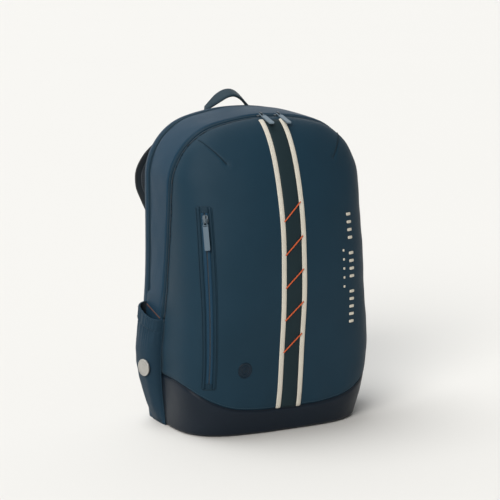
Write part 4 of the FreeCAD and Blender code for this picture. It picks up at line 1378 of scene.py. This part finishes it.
def make_darts():
    """Thin folded creases near the top corners, in a darker cloth that paints shade along each crease."""
    for number, (start, end) in enumerate(DARTS):
        share = np.linspace(0, 1, 40)
        x = between(start[0], end[0], share)
        z = between(start[1], end[1], share) + 0.0012 * np.sin(share * math.pi)
        line, normal = front_point(x, z, 0.0009 - 0.0007 * share)
        side = np.cross(normal, np.gradient(line, axis=0))
        fold = sweep(f"dart_{number}", line, side, 0.0005 + 0.0013 * share, 0.0009, 2.0, 8)
        # the fold's darker colour is painted crease shade
        dress(fold, DART_SHADE_CLOTH)
        on_front(fold)


# ---- carrying gear ----------------------------------------------------------------------

def make_handle():
    """Webbing handle: sewn to the back panel, then an arch that is broad at its top."""
    share = np.linspace(-1, 1, 46)
    half = HANDLE_HALF - HANDLE_T / 2
    rise = HANDLE_RISE + HANDLE_LEG - HANDLE_T / 2 - 0.002
    height = 0.002 + rise * np.cos(share * math.pi / 2) ** HANDLE_BELL
    lean_y, lean_z = math.sin(HANDLE_LEAN), math.cos(HANDLE_LEAN)
    arch = np.stack([half * share, HANDLE_Y - height * lean_y, HANDLE_Z + height * lean_z], -1)
    foot = [(-half, 0.1070, 0.4405), (-half, 0.1078, 0.450), (-half, 0.1112, 0.4590),
            (-half, 0.1146, 0.4665)]
    path = np.vstack([foot, arch, [(-a, b, c) for a, b, c in foot[::-1]]])
    path = curve_through(path, 130)
    lean = smooth_step(path[:, 2], 0.456, 0.476)
    side = np.stack([(1 - lean), lean * lean_z, lean * lean_y], -1)
    side[:, 0] *= np.where(path[:, 0] < 0, 1, -1)
    width = between(HANDLE_ROOT_W, HANDLE_W, smooth_step(path[:, 2], 0.470, 0.488))
    band = sweep("handle_band", path, side, width, HANDLE_T - 0.0006, 4.0, 20, 0.0002)
    dress(band, HANDLE_WEB)
    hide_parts("grab_handle")
    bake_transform(band)

    up = np.cross(np.gradient(path, axis=0), side)
    up /= np.linalg.norm(up, axis=1, keepdims=True)
    unit = side / np.linalg.norm(side, axis=1, keepdims=True)
    inward = -float(np.sign(np.median(up[50:80, 2])))
    lining = sweep("handle_lining", path[4:-4] + up[4:-4] * inward * 0.0019, side[4:-4],
                   (width - 0.0018)[4:-4], 0.0010, 4.0, 14)
    dress(lining, BLACK_WEB)
    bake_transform(lining)

    lines, normals = [], []
    for sign in (-1, 1):
        lines.append(path + unit * sign * (width / 2 - 0.0022)[:, None] - up * inward * 0.0018)
        normals.append(-up * inward)
    stitches = thread("handle_stitches", lines, normals, 0.0034, 0.35, 0.00028)
    dress(stitches, NAVY_THREAD)
    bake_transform(stitches)


def mirror_path(path, sign):
    path = np.array(path, float)
    path[:, 0] *= -sign
    return path


def strap_frame(sign):
    """The strap's middle line, its widths and its outer direction."""
    path = curve_through(mirror_path(STRAP_PATH, sign), 90)
    reach = np.linspace(0, 1, len(STRAP_WIDTH))
    width = np.interp(np.linspace(0, 1, 90), reach, STRAP_WIDTH)
    out = np.cross((1, 0, 0), np.gradient(path, axis=0))
    out /= np.linalg.norm(out, axis=1, keepdims=True)
    return path, width, out


def make_strap(side, sign):
    path, width, out = strap_frame(sign)
    ends = np.clip(np.minimum(np.arange(90), 89 - np.arange(90)) / 5, 0, 1) ** 0.5
    thick = 0.0105 * (0.35 + 0.65 * ends)
    wave = 0.0004 * np.sin(np.arange(90) * 0.9)
    pad = sweep("strap_pad_" + side, path - out * 0.0008, (1, 0, 0), width - 0.004, thick + wave,
                3.2, 32, 0.0)
    dress(pad, STRAP_CLOTH)
    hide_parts("shoulder_strap_" + side)
    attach(pad, "strap_" + side)

    inner = sweep("strap_mesh_" + side, (path - out * (thick / 2 + 0.0006)[:, None])[3:-3], (1, 0, 0),
                  (width - 0.016)[3:-3], 0.0032, 3.0, 16)
    dress(inner, MESH)
    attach(inner, "strap_" + side)

    rolls = []
    for k in (-1, 1):
        edge = path - out * 0.0008
        edge = edge + np.outer(k * (width / 2 - 0.0022), (1, 0, 0))
        rolls.append(sweep(f"roll_{k}", edge, (1, 0, 0), 0.0042, np.minimum(0.0052, thick), 2.4, 12))
    binding = joined(rolls, "strap_binding_" + side)
    dress(binding, BLACK_WEB)
    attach(binding, "strap_" + side)

    lock_x, lock_y, lock_z = -sign * LOCK[0], LOCK[1], LOCK[2]
    cover = path + out * (thick / 2 + 0.0008)[:, None]
    cover = np.vstack([cover[8::6], [(lock_x, lock_y + 0.0035, lock_z + 0.008)],
                       [(lock_x, lock_y + 0.0030, lock_z + 0.001)]])
    cover = curve_through(cover, 110)
    web = sweep("strap_web_" + side, cover, (1, 0, 0), WEB_W, 0.0018, 6.0, 20)
    dress(web, BLACK_WEB)
    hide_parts("strap_webbing_" + side)
    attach(web, "strap_" + side)

    normal = np.cross((1, 0, 0), np.gradient(cover, axis=0))
    normal /= np.linalg.norm(normal, axis=1, keepdims=True)
    lines = [cover[:96] + np.array([k * (WEB_W / 2 - 0.0018), 0, 0]) + normal[:96] * 0.0010
             for k in (-1, 1)]
    normals = [normal[:96]] * 2
    pad_top = path + out * (thick / 2 - 0.0009)[:, None]
    for k in (-1, 1):
        lines.append((pad_top + np.outer(k * (width / 2 - 0.0078), (1, 0, 0)))[4:-4])
        normals.append(out[4:-4])
    for k in (20, 40, 60, 80):
        bar = np.linspace(-WEB_W / 2 + 0.002, WEB_W / 2 - 0.002, 12)
        lines.append(cover[k] + np.outer(bar, (1, 0, 0)) + normal[k] * 0.0010)
        normals.append(np.tile(normal[k], (12, 1)))
    stitches = thread("strap_stitches_" + side, lines, normals, 0.0036, 0.35, 0.00030)
    dress(stitches, BLACK_THREAD)
    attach(stitches, "strap_" + side)


def make_lower_webbing(side, sign):
    x, y, z = LOCK
    low = z - LOCK_H + 0.0036
    route = mirror_path([(x, y - 0.0006, low + 0.010), (x, y - 0.0014, low), (-0.102, 0.1225, 0.122),
                         (-0.104, 0.1200, 0.105), (-0.107, 0.1145, 0.080), TAB_END], sign)
    web = sweep("lower_web_" + side, curve_through(route, 60), (1, 0, 0), WEB_W, 0.0018, 6.0, 20)
    dress(web, BLACK_WEB)
    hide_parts("lower_webbing_" + side)
    on_body(web)

    tail = mirror_path([(x, y + 0.0035, low + 0.010), (x, y + 0.0036, low), (-0.1005, 0.1315, 0.126),
                        (-0.101, 0.1310, 0.110), (-0.102, 0.1305, 0.078)], sign)
    path = curve_through(tail, 60)
    path[:, 1] += 0.0012 * np.sin(np.linspace(0, 9, 60))
    end = sweep("webbing_end_" + side, path, (1, 0, 0), WEB_W, 0.0018, 6.0, 20)
    dress(end, BLACK_WEB)
    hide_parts("webbing_tail_" + side)
    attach(end, "lock_" + side)


def make_anchor_tabs():
    """Triangles of webbing that hold the lower ends of the straps."""
    tabs = []
    for sign in (-1, 1):
        rows = []
        corners = np.array([(0.1345, 0.0155), (0.1345, 0.0445), (0.0975, 0.0525)])
        ring = resampled([(a, 0, b) for a, b in np.vstack([corners, corners[:1]])], 0.004)[:-1]
        middle = ring.mean(0)
        for share, y in ((1.0, 0.1044), (1.0, 0.1066), (0.95, 0.1074), (0.5, 0.1075), (0.05, 0.1075)):
            row = between(middle, ring, share)
            row[:, 1] = y
            row[:, 0] *= sign
            rows.append(row)
        tabs.append(face_from(grid(f"tab_{sign}", rows, closed=True), (sign * 0.12, 0.08, 0.03)))
    both = joined(tabs, "anchor_tab_pair")
    dress(both, BLACK_WEB)
    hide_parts("anchor_tabs")
    on_body(both)


# ---- pads of the back, by cloth simulation ----------------------------------------------

def pillow(name, low, high, corner, swell, material):
    """A padded block: a rounded box whose cloth is blown up, then evened."""
    shape = bmesh.new()
    bmesh.ops.create_cube(shape, size=1.0)
    low, high = np.array(low), np.array(high)
    size = high - low - 2 * swell * np.array((0.4, 1, 0.4))
    for vert in shape.verts:
        vert.co = Vector((low + high) / 2 + np.array(vert.co) * size)
    bmesh.ops.bevel(shape, geom=[e for e in shape.edges if abs(e.verts[0].co.y - e.verts[1].co.y) > 1e-4],
                    offset=corner, segments=6, profile=0.5, affect="EDGES")
    bmesh.ops.recalc_face_normals(shape, faces=shape.faces)
    mesh = bpy.data.meshes.new(name)
    shape.to_mesh(mesh)
    shape.free()
    obj = bpy.data.objects.new(name, mesh)
    bpy.context.scene.collection.objects.link(obj)
    remesh = obj.modifiers.new("remesh", "REMESH")
    remesh.mode = "VOXEL"
    remesh.voxel_size = 0.0045
    baked(obj)
    blow_up(obj, swell)
    rounded(obj)
    obj.data.shade_smooth()
    dress(obj, material)
    return obj


def blow_up(obj, cap):
    rest = np.array([v.co[:] for v in obj.data.vertices])
    scene = bpy.context.scene
    cloth = obj.modifiers.new("cloth", "CLOTH")
    cloth.settings.use_pressure = True
    cloth.settings.uniform_pressure_force = 4.0
    cloth.settings.effector_weights.gravity = 0.0
    for number in range(1, 21):
        scene.frame_set(number)
    baked(obj)
    scene.frame_set(1)
    for vert, start in zip(obj.data.vertices, rest):
        move = np.array(vert.co) - start
        size = np.linalg.norm(move)
        if size > cap:
            vert.co = Vector(start + move / size * cap)


def channel(obj, lines, depth, width):
    """Presses sewn channels into a pad's outer face along heights or columns (axis, value)."""
    for vert in obj.data.vertices:
        if vert.co.y < BACK_Y + 0.003:
            continue
        for axis, value in lines:
            gap = vert.co[axis] - value
            vert.co.y -= depth * math.exp(-(gap / width) ** 2)
            vert.co.y = max(vert.co.y, BACK_Y + 0.0015)


def make_back_pads():
    y0, y1 = BACK_Y + 0.0004, BACK_Y + 0.0094
    for side, sign in (("left", -1), ("right", 1)):
        xs = sorted((sign * 0.018, sign * 0.095))
        pad = pillow("back_pad_cover_" + side, (xs[0], y0, 0.098), (xs[1], y1, 0.338), 0.016, 0.003, MESH)
        channel(pad, [(2, 0.158), (2, 0.218), (2, 0.278)], 0.0040, 0.0036)
        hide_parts("back_pad_" + side)
        on_body(pad)
    lumbar = pillow("lumbar_cover", (-0.095, y0, 0.028), (0.095, y1, 0.088), 0.016, 0.003, MESH)
    channel(lumbar, [(0, 0.0)], 0.0040, 0.0036)
    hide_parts("lumbar_pad")
    on_body(lumbar)
    yoke = pillow("yoke_cover", (-0.095, y0, 0.386), (0.095, y0 + 0.005, 0.438), 0.010, 0.0012, STRAP_CLOTH)
    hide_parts("strap_yoke")
    on_body(yoke)


def dress_hard_parts():
    metals = {"zip_slider_left": SLIDER_METAL, "zip_slider_right": SLIDER_METAL,
              "pocket_slider": SLIDER_METAL, "rear_zip_slider": SLIDER_METAL,
              "zip_pull_left": PULL_METAL, "zip_pull_right": PULL_METAL,
              "pocket_pull": POCKET_METAL, "rear_zip_pull": PULL_METAL,
              "ladder_lock_left": PLASTIC, "ladder_lock_right": PLASTIC}
    for node, material in metals.items():
        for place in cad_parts[node].material_slots:
            place.material = material


# ---- build ------------------------------------------------------------------------------

make_stage()
make_front()
make_base()
make_stripes()
make_cross_stitches()
make_print()
make_gusset()
make_front_zip()
make_rear_zip()
make_zip_stitches()
make_corner_seams()
make_back()
make_divider()
make_front_pocket()
make_emblem()
make_darts()
make_badge()
make_handle()
make_anchor_tabs()
for side, sign in (("left", -1), ("right", 1)):
    make_side_pocket(side, sign)
    make_strap(side, sign)
    make_lower_webbing(side, sign)
make_back_pads()
dress_hard_parts()
